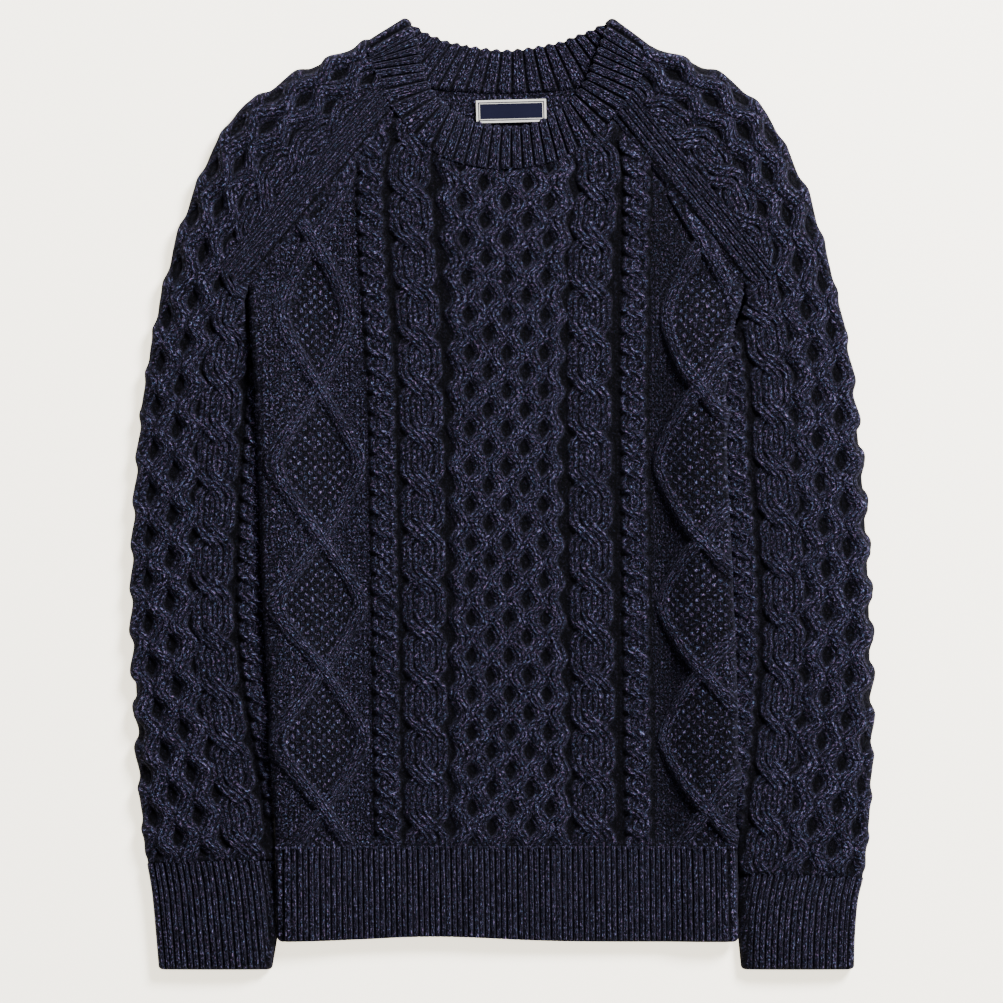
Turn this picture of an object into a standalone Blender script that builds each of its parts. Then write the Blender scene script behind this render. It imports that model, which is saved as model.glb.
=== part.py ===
"""A cable-knit crew-neck raglan sweater, laid flat on its back.

Metres. +Z is up, +Y runs from the hem to the neck, and the underside rests on Z = 0.
The body's front panel wraps round both sides to side seams on the underside, and its
side edges lie over the inner edges of the sleeves.  Each piece is a knitted wall: an
inner surface from sections, and an outer one moved out by the wall and by the cables.
"""
import bpy
import numpy as np

for thing in list(bpy.data.objects):
    bpy.data.objects.remove(thing, do_unlink=True)

# Walls
WALL = 0.0040           # knitted wall without its cables
REST = 0.0050           # wall of the layer that lies pressed on the floor
SLIT = 0.0004           # between two pieces along a seam
SIDE_SLIT = 0.0012      # between the body's panels along the side seams
NECK_SLIT = 0.0022      # between the neckband and what it is sewn to
TURN = 0.0048           # inner surface's distance from the edge where a seam turns in

# Cable columns, as distances from the front's centre line
HONEY_CORDS = 6
HONEY_SWING = 0.0030    # each cord's sway to either side
HONEY_REPEAT = 0.0292
HONEY_START = 0.1964    # height of one row of holes on the body
PLAIT_AT = 0.0660
PLAIT_HALF = 0.0175
PLAIT_REPEAT = 0.0376
ROPE_AT = 0.0955
ROPE_HALF = 0.0105
ROPE_REPEAT = 0.0154
DIAMOND_LEFT = -0.1470
DIAMOND_RIGHT = 0.1530
DIAMOND_HALF = 0.0335
DIAMOND_TOP = 0.0260     # the first one below the neck is narrower
DIAMOND_CROSSINGS = (-0.3500, -0.2410, -0.1348, -0.0342, 0.0830, 0.1960, 0.3050)
DIAMOND_CORD = 0.0062
HONEY_HIGH = 0.0040
PLAIT_HIGH = 0.0040
ROPE_HIGH = 0.0036
DIAMOND_HIGH = 0.0030
MOSS_HIGH = 0.0009

# Sleeve columns, as distances from the plait's own centre line
SLEEVE_ROPE = -0.0300

# Ribs
HEM_RIB = 0.0085
CUFF_RIB = 0.0092
BAND_FRONT_RIBS = 32
BAND_BACK_RIBS = 18
RIB_HIGH = 0.0022

# Body: height on the page, side edges, rise of the inner surface at those edges, and how
# far the side seam on the underside lies in from the edge
BODY = (
    # y, left, right, rise_left, rise_right, seam
    (-0.3442, -0.1729, 0.1813, 0.0125, 0.0125, 0.0400),
    (-0.3118, -0.1742, 0.1819, 0.0130, 0.0130, 0.0400),
    (-0.2722, -0.1757, 0.1817, 0.0145, 0.0140, 0.0410),
    (-0.2387, -0.1775, 0.1813, 0.0200, 0.0190, 0.0420),
    (-0.1886, -0.1790, 0.1813, 0.0235, 0.0235, 0.0430),
    (-0.1347, -0.1821, 0.1806, 0.0245, 0.0245, 0.0440),
    (-0.0808, -0.1852, 0.1783, 0.0245, 0.0245, 0.0440),
    (-0.0269, -0.1871, 0.1759, 0.0245, 0.0245, 0.0440),
    (0.0154, -0.1883, 0.1736, 0.0245, 0.0245, 0.0440),
    (0.0577, -0.1898, 0.1729, 0.0245, 0.0245, 0.0420),
    (0.0962, -0.1929, 0.1744, 0.0245, 0.0245, 0.0340),
    (0.1309, -0.1960, 0.1783, 0.0205, 0.0205, 0.0200),
    (0.1500, -0.1970, 0.1835, 0.0155, 0.0155, 0.0110),
    (0.1625, -0.1966, 0.1873, 0.0125, 0.0125, 0.0048),
)
# y, middle of the honeycomb, spacing of its cords
HONEY_LINES = (
    (-0.3500, 0.0000, 0.0152),
    (-0.2400, -0.0003, 0.0149),
    (-0.1700, -0.0006, 0.0146),
    (-0.0500, -0.0008, 0.0140),
    (0.0300, -0.0006, 0.0140),
    (0.1150, 0.0012, 0.0144),
    (0.1700, 0.0016, 0.0154),
    (0.2400, 0.0020, 0.0172),
    (0.3500, 0.0020, 0.0178),
)
SLEEVE_HONEY_LINES = (
    (-0.1000, 0.0700, 0.0150),
    (0.9000, 0.0700, 0.0150),
)
UNDERARM = 0.1625
HEM_TOP = -0.2718
HEM_END = -0.3442
MIDDLE_RISE = 0.0085    # inner surface of the front over the middle of the back
YOKE_RISE = 0.0095      # and beside the raglan seams

# Neckline seen from above: seam edge and free edge of the band, round from the left
# shoulder peak down the front and back up
NECK_FRONT = (
    # seam_x, seam_y, free_x, free_y
    (-0.1066, 0.3488, -0.0728, 0.3657),
    (-0.0997, 0.3303, -0.0651, 0.3488),
    (-0.0930, 0.3118, -0.0604, 0.3257),
    (-0.0820, 0.2941, -0.0527, 0.3103),
    (-0.0651, 0.2749, -0.0397, 0.2972),
    (-0.0404, 0.2580, -0.0212, 0.2880),
    (0.0004, 0.2510, 0.0019, 0.2837),
    (0.0412, 0.2575, 0.0235, 0.2880),
    (0.0674, 0.2733, 0.0443, 0.3015),
    (0.0851, 0.2911, 0.0574, 0.3134),
    (0.0997, 0.3070, 0.0658, 0.3234),
    (0.1082, 0.3246, 0.0728, 0.3411),
    (0.1145, 0.3457, 0.0820, 0.3657),
)
NECK_BACK = (
    (0.1145, 0.3457, 0.0820, 0.3657),
    (0.0982, 0.3288, 0.0689, 0.3588),
    (0.0735, 0.3188, 0.0558, 0.3538),
    (0.0489, 0.3122, 0.0404, 0.3484),
    (0.0004, 0.3095, 0.0019, 0.3430),
    (-0.0474, 0.3118, -0.0366, 0.3484),
    (-0.0712, 0.3180, -0.0504, 0.3527),
    (-0.0920, 0.3303, -0.0620, 0.3580),
    (-0.1066, 0.3488, -0.0728, 0.3657),
)
FRONT_RAGLAN = (3, 9)   # rows of NECK_FRONT where the front raglan seams meet the band
BACK_RAGLAN = (6, 2)    # and rows of NECK_BACK, left and right

# Raglan seams, from the neck to the underarm, on the upper and on the lower layer
RAGLAN_LEFT = (
    # neck_x, neck_y, underarm_x, underarm_y
    (-0.0836, 0.2946, -0.1970, 0.1625),
    (-0.0720, 0.3172, -0.1950, 0.1600),
)
RAGLAN_RIGHT = (
    (0.0862, 0.2900, 0.1877, 0.1625),
    (0.0743, 0.3180, 0.1857, 0.1600),
)
RAGLAN_ROWS = 8         # rows of a sleeve's table that end at the raglan seams

# Sleeves, from the neck to the wrist: the outer fold, the inner fold below the raglan
# seams, how far in from the outer fold the plait's middle lies, and the inner surface's rise
SLEEVE_LEFT = (
    # fold_x, fold_y, inner_x, inner_y, plait, rise
    (-0.1085, 0.3478, 0.0, 0.0, 0.0400, 0.0090),
    (-0.1313, 0.3380, 0.0, 0.0, 0.0480, 0.0095),
    (-0.1528, 0.3296, 0.0, 0.0, 0.0530, 0.0100),
    (-0.1783, 0.3126, 0.0, 0.0, 0.0560, 0.0110),
    (-0.2021, 0.2964, 0.0, 0.0, 0.0570, 0.0115),
    (-0.2214, 0.2672, 0.0, 0.0, 0.0570, 0.0115),
    (-0.2360, 0.2356, 0.0, 0.0, 0.0565, 0.0110),
    (-0.2499, 0.1994, -0.1970, 0.1625, 0.0565, 0.0105),
    (-0.2599, 0.1648, -0.1980, 0.1470, 0.0570, 0.0100),
    (-0.2676, 0.1309, -0.1945, 0.1220, 0.0580, 0.0095),
    (-0.2753, 0.0847, -0.1810, 0.0790, 0.0595, 0.0095),
    (-0.2807, 0.0385, -0.1765, 0.0350, 0.0620, 0.0095),
    (-0.2845, -0.0192, -0.1745, -0.0200, 0.0625, 0.0095),
    (-0.2861, -0.0808, -0.1735, -0.0800, 0.0625, 0.0095),
    (-0.2861, -0.1347, -0.1735, -0.1330, 0.0660, 0.0095),
    (-0.2830, -0.1886, -0.1750, -0.1860, 0.0710, 0.0095),
    (-0.2784, -0.2387, -0.1780, -0.2350, 0.0750, 0.0095),
    (-0.2745, -0.2826, -0.1790, -0.2790, 0.0770, 0.0090),
)
SLEEVE_RIGHT = (
    (0.1167, 0.3450, 0.0, 0.0, 0.0420, 0.0090),
    (0.1398, 0.3373, 0.0, 0.0, 0.0490, 0.0095),
    (0.1621, 0.3280, 0.0, 0.0, 0.0540, 0.0100),
    (0.1860, 0.3111, 0.0, 0.0, 0.0560, 0.0110),
    (0.2044, 0.2911, 0.0, 0.0, 0.0565, 0.0115),
    (0.2214, 0.2595, 0.0, 0.0, 0.0560, 0.0115),
    (0.2337, 0.2348, 0.0, 0.0, 0.0560, 0.0110),
    (0.2452, 0.1994, 0.1877, 0.1625, 0.0575, 0.0105),
    (0.2545, 0.1656, 0.1860, 0.1470, 0.0590, 0.0100),
    (0.2630, 0.1309, 0.1765, 0.1220, 0.0610, 0.0095),
    (0.2714, 0.0847, 0.1640, 0.0790, 0.0635, 0.0095),
    (0.2776, 0.0385, 0.1610, 0.0350, 0.0690, 0.0095),
    (0.2822, -0.0192, 0.1615, -0.0200, 0.0690, 0.0095),
    (0.2853, -0.0808, 0.1645, -0.0800, 0.0690, 0.0095),
    (0.2861, -0.1347, 0.1680, -0.1330, 0.0700, 0.0095),
    (0.2853, -0.1886, 0.1722, -0.1860, 0.0730, 0.0095),
    (0.2830, -0.2387, 0.1800, -0.2350, 0.0760, 0.0095),
    (0.2787, -0.2930, 0.1845, -0.2900, 0.0785, 0.0090),
)
CUFF_LEFT = (
    (-0.2745, -0.2834, -0.1790, -0.2798, 0.0, 0.0085),
    (-0.2707, -0.3057, -0.1768, -0.3057, 0.0, 0.0085),
    (-0.2676, -0.3388, -0.1755, -0.3388, 0.0, 0.0085),
    (-0.2653, -0.3657, -0.1783, -0.3657, 0.0, 0.0085),
)
CUFF_RIGHT = (
    (0.2787, -0.2938, 0.1845, -0.2908, 0.0, 0.0085),
    (0.2745, -0.3118, 0.1852, -0.3118, 0.0, 0.0085),
    (0.2722, -0.3388, 0.1852, -0.3388, 0.0, 0.0085),
    (0.2714, -0.3657, 0.1852, -0.3657, 0.0, 0.0085),
)

# Label, by the corners of its lower edge and its size
LABEL_CENTRE = (0.0067, 0.2960)
LABEL_SIZE = (0.0540, 0.0175, 0.0012)
LABEL_TURN = 0.025


def column(table, index):
    return np.array([row[index] for row in table], float)


def smooth(known, values, wanted):
    """A curve through the known values, without corners at them."""
    known = np.asarray(known, float)
    values = np.asarray(values, float)
    if known[0] > known[-1]:
        known = known[::-1]
        values = values[::-1]
    slope = np.gradient(values, known)
    wanted = np.clip(wanted, known[0], known[-1])
    at = np.clip(np.searchsorted(known, wanted) - 1, 0, len(known) - 2)
    width = known[at + 1] - known[at]
    f = (wanted - known[at]) / width
    start = (1 + 2 * f) * (1 - f) ** 2 * values[at] + f * (1 - f) ** 2 * width * slope[at]
    end = f * f * (3 - 2 * f) * values[at + 1] + f * f * (f - 1) * width * slope[at + 1]
    return start + end


def ease(x):
    x = np.clip(x, 0, 1)
    return x * x * (3 - 2 * x)


def along(points):
    """Distance run along a line of points, from 0."""
    steps = np.linalg.norm(np.diff(points, axis=0), axis=1)
    return np.concatenate([[0], np.cumsum(steps)])


def resample(points, fractions):
    run = along(points)
    wanted = np.asarray(fractions) * run[-1]
    return np.stack([np.interp(wanted, run, points[:, k]) for k in range(points.shape[1])], 1)


def rounded(corners, each=24):
    """A smooth line that starts and ends at its corner points and bends past the others."""
    points = np.asarray(corners, float)
    padded = np.vstack([2 * points[0] - points[1], points, 2 * points[-1] - points[-2]])
    line = []
    for k in range(len(points) - 1):
        a, b, c, d = padded[k:k + 4]
        for f in np.linspace(0, 1, each, endpoint=False):
            line.append(0.5 * (2 * b + (c - a) * f + (2 * a - 5 * b + 4 * c - d) * f ** 2
                               + (3 * b - a - 3 * c + d) * f ** 3))
    line.append(points[-1])
    return np.array(line)


def unit(vectors):
    return vectors / np.maximum(np.linalg.norm(vectors, axis=-1, keepdims=True), 1e-12)


def outward(grid):
    """Unit normals of a grid of points, rows first; the grid's four ends are cut square."""
    across = np.gradient(grid, axis=1)
    up = np.gradient(grid, axis=0)
    normal = unit(np.cross(across, up))
    for end, beside in ((0, 1), (-1, -2)):
        way = unit((grid[end] - grid[beside]) * [1, 1, 0])
        normal[end] -= np.sum(normal[end] * way, axis=1)[:, None] * way
        way = unit(grid[:, end] - grid[:, beside])
        normal[:, end] -= np.sum(normal[:, end] * way, axis=1)[:, None] * way
    return unit(normal)


# Knitted relief: heights above the plain wall

def cord(distance, half):
    return np.sqrt(np.clip(1 - (distance / half) ** 2, 0, 1))


def honeycomb(s, t, lines, start):
    """Cords that sway against their neighbours and leave staggered hollows."""
    middle = np.interp(t, column(lines, 0), column(lines, 1))
    pitch = np.interp(t, column(lines, 0), column(lines, 2))
    wave = np.cos(2 * np.pi * (t - start) / HONEY_REPEAT)
    high = np.zeros(np.broadcast(s, t).shape)
    for k in range(HONEY_CORDS):
        base = middle + (k - (HONEY_CORDS - 1) / 2) * pitch
        sway = HONEY_SWING * wave * (1 if k % 2 == (HONEY_CORDS // 2) % 2 else -1)
        high = np.maximum(high, cord(s - base - sway, 0.48 * pitch))
    return HONEY_HIGH * high


def plait(s, t):
    wave = np.cos(2 * np.pi * (t / PLAIT_REPEAT - s / 0.03))
    return PLAIT_HIGH * cord(s, PLAIT_HALF) ** 0.5 * (0.82 + 0.18 * wave)


def rope(s, t):
    return ROPE_HIGH * cord(s, ROPE_HALF) ** 0.5 * (0.85 + 0.15 * np.cos(2 * np.pi * t / ROPE_REPEAT))


def diamonds(s, t):
    """Two cords that cross and part, with moss stitch between them."""
    turn = np.interp(t, DIAMOND_CROSSINGS, np.arange(len(DIAMOND_CROSSINGS)))
    half = np.interp(t, (0.060, 0.140), (DIAMOND_HALF, DIAMOND_TOP))
    apart = half * np.abs(np.arcsin(0.75 * np.sin(np.pi * turn))) / np.arcsin(0.75)
    lines = np.maximum(cord(s - apart, DIAMOND_CORD), cord(s + apart, DIAMOND_CORD))
    return np.maximum(DIAMOND_HIGH * lines, MOSS_HIGH * (np.abs(s) < apart))


def body_relief(s, t):
    """Height over the front, by distance from its centre line and height on the page."""
    side = np.abs(s)
    high = honeycomb(s, t, HONEY_LINES, HONEY_START)
    high = np.maximum(high, plait(side - PLAIT_AT, t))
    high = high + rope(side - ROPE_AT, t)
    return high + diamonds(s - DIAMOND_LEFT, t) + diamonds(s - DIAMOND_RIGHT, t)


def sleeve_relief(s, t):
    """Height over a sleeve, by distance out from its plait's middle and along it."""
    high = honeycomb(s, t, SLEEVE_HONEY_LINES, 0.0)
    return high + plait(s, t) + rope(s - SLEEVE_ROPE, t)


def ribs(s, pitch):
    return RIB_HIGH * np.clip(0.5 + 0.9 * np.cos(2 * np.pi * s / pitch), 0, 1)


# Solids

def sew(first, second):
    """Triangles between two lines of (index, position) that start and end together."""
    faces = []
    a = b = 0
    while a < len(first) - 1 or b < len(second) - 1:
        if b == len(second) - 1 or (a < len(first) - 1 and first[a + 1][1] <= second[b + 1][1] + 1e-9):
            faces.append((first[a][0], first[a + 1][0], second[b][0]))
            a += 1
        else:
            faces.append((first[a][0], second[b + 1][0], second[b][0]))
            b += 1
    return faces


def knit(name, outer, inner, rows, columns, colour):
    """A closed wall between an outer grid and an inner one with fewer points."""
    inner = inner[np.ix_(rows, columns)]
    m, n = outer.shape[:2]
    p, q = inner.shape[:2]
    points = np.vstack([outer.reshape(-1, 3), inner.reshape(-1, 3)])
    out = np.arange(m * n).reshape(m, n)
    ins = m * n + np.arange(p * q).reshape(p, q)
    faces = []
    for i in range(m - 1):
        for j in range(n - 1):
            faces.append((out[i, j], out[i, j + 1], out[i + 1, j + 1], out[i + 1, j]))
    for i in range(p - 1):
        for j in range(q - 1):
            faces.append((ins[i, j], ins[i + 1, j], ins[i + 1, j + 1], ins[i, j + 1]))
    low_out = [(out[0, j], j) for j in range(n)]
    low_in = [(ins[0, k], columns[k]) for k in range(q)]
    top_out = [(out[m - 1, j], j) for j in range(n)]
    top_in = [(ins[p - 1, k], columns[k]) for k in range(q)]
    left_out = [(out[i, 0], i) for i in range(m)]
    left_in = [(ins[k, 0], rows[k]) for k in range(p)]
    right_out = [(out[i, n - 1], i) for i in range(m)]
    right_in = [(ins[k, q - 1], rows[k]) for k in range(p)]
    faces += [f[::-1] for f in sew(low_out, low_in)]
    faces += sew(top_out, top_in)
    faces += sew(left_out, left_in)
    faces += [f[::-1] for f in sew(right_out, right_in)]
    return solid(name, points, faces, colour)


def solid(name, points, faces, colour):
    mesh = bpy.data.meshes.new(name)
    mesh.from_pydata([tuple(map(float, p)) for p in points], [], [tuple(map(int, f)) for f in faces])
    if volume(points, faces) < 0:
        mesh.flip_normals()
    mesh.validate()
    thing = bpy.data.objects.new(name, mesh)
    bpy.context.collection.objects.link(thing)
    material = bpy.data.materials.new(name + "_knit")
    material.use_nodes = True
    shader = material.node_tree.nodes["Principled BSDF"]
    shader.inputs["Base Color"].default_value = (*colour, 1)
    shader.inputs["Roughness"].default_value = 0.9
    mesh.materials.append(material)
    return thing


def volume(points, faces):
    points = np.asarray(points)
    total = 0.0
    for face in faces:
        for k in range(1, len(face) - 1):
            a, b, c = points[face[0]], points[face[k]], points[face[k + 1]]
            total += np.dot(a, np.cross(b, c)) / 6
    return total


NAVY = (0.016, 0.018, 0.040)
LABEL_BLUE = (0.012, 0.020, 0.075)


def spread(count, steps):
    """About steps + 1 of the numbers from 0 to count - 1, both ends among them."""
    return sorted(set(int(round(v)) for v in np.linspace(0, count - 1, steps + 1)))


# Front panel and its hem

def neck_line(first, last, table, shift):
    """A line along the seam edge of the band, moved away from it by shift."""
    rows = np.array(table)
    seam = rounded(rows[:, 0:2])[24 * first:24 * last + 1]
    free = rounded(rows[:, 2:4])[24 * first:24 * last + 1]
    away = seam - free
    away /= np.linalg.norm(away, axis=1, keepdims=True)
    return seam + away * shift


SIDE_STEPS = 40         # points of each side and of the middle before the columns are picked
MIDDLE_STEPS = 240
SEAM_FULL = 0.0440


def side_line(rise, seam):
    """(inset, z) of a side, from the seam under the fold round to the top surface."""
    under = max(rise - 0.0048, REST + 0.0006)
    drop = under - REST
    laid = np.array([
        (SEAM_FULL, REST), (SEAM_FULL * 0.80, REST), (SEAM_FULL * 0.60, REST + 0.25 * drop),
        (SEAM_FULL * 0.42, REST + 0.70 * drop), (TURN + 0.0055, under), (TURN + 0.0004, (under + rise) / 2),
        (TURN + 0.0050, rise - 0.0001), (TURN + 0.0080, rise)])
    turned = np.array([
        (TURN, rise - 0.0034), (TURN, rise - 0.0028), (TURN + 0.0001, rise - 0.0022),
        (TURN + 0.0004, rise - 0.0016), (TURN + 0.0010, rise - 0.0010), (TURN + 0.0020, rise - 0.0004),
        (TURN + 0.0035, rise - 0.0001), (TURN + 0.0080, rise)])
    f = (seam - TURN) / (SEAM_FULL - TURN)
    return resample(rounded(turned + f * (laid - turned), 12), np.linspace(0, 1, SIDE_STEPS + 1))


def body_row(left, right, middle, rises, seams, centre_rise):
    """Inner surface of one row, from the left side seam over the top to the right one."""
    width = right[0] - left[0]
    near = side_line(rises[0], seams[0])
    far = side_line(rises[1], seams[1])[::-1]
    f = np.linspace(0, 1, MIDDLE_STEPS + 1)
    start = near[-1, 0]
    stop = width - far[0, 0]
    run = start + f * (stop - start)
    reach = min(0.055, (stop - start) / 2)
    z = centre_rise + (rises[0] - centre_rise) * (1 - ease((run - start) / reach))
    # the right side keeps its height further in, then drops into a valley
    shelf = min(0.010, reach / 4)
    z = z + (rises[1] - centre_rise) * (1 - ease((stop - run - shelf) / (reach * 0.66)))
    run = np.concatenate([near[:-1, 0], run, width - far[1:, 0]])
    z = np.concatenate([near[:-1, 1], z, far[1:, 1]])
    share = run / width
    x = left[0] + share * width
    y = left[1] + share * (right[1] - left[1]) + middle(share)
    return np.stack([x, y, z], 1)


def body_rows(heights):
    ys = column(BODY, 0)
    rows = []
    for y in heights:
        at = [float(smooth(ys, column(BODY, k), y)) for k in range(1, 6)]
        rows.append(body_row((at[0], y), (at[1], y), lambda q: 0 * q, (at[2], at[3]), (at[4], at[4]),
                             MIDDLE_RISE))
    return rows


def yoke_rows(fractions):
    """Rows from the underarm to the neck, ending at the raglan seams."""
    neck = neck_line(FRONT_RAGLAN[0], FRONT_RAGLAN[1], NECK_FRONT, NECK_SLIT)
    a = np.array(RAGLAN_LEFT[0])
    b = np.array(RAGLAN_RIGHT[0])
    rows = []
    for f in fractions:
        left = (a[2] + SLIT + f * (a[0] + 0.0012 - a[2]), a[3] + f * (a[1] - a[3]) - SLIT)
        right = (b[2] - SLIT + f * (b[0] - 0.0012 - b[2]), b[3] + f * (b[1] - b[3]) - SLIT)

        def dip(q, f=f):
            ends = np.interp(q, (0, 1), (neck[0, 1], neck[-1, 1]))
            share = (neck[:, 0] - neck[0, 0]) / (neck[-1, 0] - neck[0, 0])
            return (np.interp(q, share, neck[:, 1]) - ends) * f ** 1.6
        rise = 0.0125 + (YOKE_RISE - 0.0125) * ease(f * 2)
        rows.append(body_row(left, right, dip, (rise, rise), (TURN, TURN), MIDDLE_RISE))
    return rows


def raised(inner, wall, floor=0.0):
    """Outer points of a wall, none of them below the floor."""
    outer = inner + outward(inner) * wall[:, :, None]
    outer[:, :, 2] = np.maximum(outer[:, :, 2], floor)
    return outer


def body_columns():
    """Places across the front, as shares of the middle part, that fall on the cables."""
    one_side = [0.0, 0.0072, 0.0145, 0.0217, 0.0290, 0.0362, 0.0430, 0.0480, 0.0530, 0.0600, 0.0660,
                0.0720, 0.0790, 0.0840, 0.0885, 0.0955, 0.1025, 0.1070, 0.1125, 0.1240, 0.1370, 0.1500,
                0.1620, 0.1730]
    places = sorted([-s for s in one_side[1:]] + one_side)
    inside = [s for s in places if -0.1740 < s < 0.1600]
    return [0] + [int(round(MIDDLE_STEPS * (s + 0.1775) / 0.3400)) for s in inside] + [MIDDLE_STEPS]


def body_wall(inner, relief):
    """Wall over the front: full relief on top, none on the part that lies underneath."""
    up = ease(outward(inner)[:, :, 2] * 1.25)
    return WALL + (REST - WALL) * (1 - up) + relief * up


# Front panel
count = int(round((UNDERARM - HEM_TOP) / (HONEY_REPEAT / 4)))
heights = np.linspace(HEM_TOP, UNDERARM, count + 1)
front = np.array(body_rows(heights) + yoke_rows(np.linspace(0, 1, 11)[1:]))
centre = front[:, :, 0] - (0.0005 - 0.0135 * (front[:, :, 1] - 0.20))
wall = body_wall(front, body_relief(centre, front[:, :, 1]))
outer = raised(front, wall)
picked = [0, 12, 22, 31] + [SIDE_STEPS + k for k in body_columns()] \
    + [SIDE_STEPS + MIDDLE_STEPS + SIDE_STEPS - k for k in (31, 22, 12, 0)]
inner_columns = spread(len(picked), 18)
knit("front_panel", outer[:, picked], front[:, picked], spread(len(front), 20), inner_columns, NAVY)

# Front hem
front = np.array(body_rows(np.linspace(HEM_END, HEM_TOP - SLIT, 5)))
centre = front[:, :, 0] - (0.0005 - 0.0135 * (front[:, :, 1] - 0.20))
outer = raised(front, body_wall(front, ribs(centre, HEM_RIB)))
picked = [0, 14, 24, 32] + [SIDE_STEPS + k for k in range(0, MIDDLE_STEPS + 1, 2)] \
    + [2 * SIDE_STEPS + MIDDLE_STEPS - k for k in (32, 24, 14, 0)]
knit("hem_front", outer[:, picked], front[:, picked], [0, 4], spread(len(picked), 24), NAVY)


# Back panel and its hem, flat on the floor

def flat_piece(name, rows, columns):
    """A flat wall on the floor between the left and right ends of each row."""
    f = np.linspace(0, 1, columns)
    inner = []
    for left, right, dip in rows:
        left = np.array(left)
        right = np.array(right)
        line = left + f[:, None] * (right - left)
        line[:, 1] += dip(f)
        inner.append(np.column_stack([line, np.full(columns, REST)]))
    inner = np.array(inner)
    outer = inner.copy()
    outer[:, :, 2] = 0
    knit(name, outer[:, ::-1], inner[:, ::-1], list(range(len(inner))), list(range(columns)), NAVY)


def back_ends(y):
    ys = column(BODY, 0)
    left, right, seam = [float(smooth(ys, column(BODY, k), y)) for k in (1, 2, 5)]
    return (left + seam + SIDE_SLIT, y), (right - seam - SIDE_SLIT, y)


def none(q):
    return 0 * q


heights = (-0.2718, -0.20, -0.13, -0.06, 0.0, 0.04, 0.07, 0.09, 0.105, 0.118, 0.130, 0.142)
rows = [(*back_ends(y), none) for y in heights]
neck = neck_line(BACK_RAGLAN[1], BACK_RAGLAN[0], NECK_BACK, NECK_SLIT)[::-1]
a = np.array(RAGLAN_LEFT[1])
b = np.array(RAGLAN_RIGHT[1])
for f in np.linspace(0, 1, 9):
    gap = SIDE_SLIT + 0.0025 * (1 - f) ** 4
    left = (a[2] + gap + f * (a[0] - a[2]), a[3] - SLIT + f * (a[1] - a[3]))
    right = (b[2] - gap + f * (b[0] - b[2]), b[3] - SLIT + f * (b[1] - b[3]))

    def dip(q, f=f):
        ends = np.interp(q, (0, 1), (neck[0, 1], neck[-1, 1]))
        share = (neck[:, 0] - neck[0, 0]) / (neck[-1, 0] - neck[0, 0])
        return (np.interp(q, share, neck[:, 1]) - ends) * f ** 1.6
    rows.append((left, right, dip))
flat_piece("back_panel", rows, 11)
rows = [(*back_ends(y), none) for y in (HEM_TOP - SLIT, -0.30, -0.32, HEM_END)]
flat_piece("hem_back", rows, 12)


# Sleeves and cuffs

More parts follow.
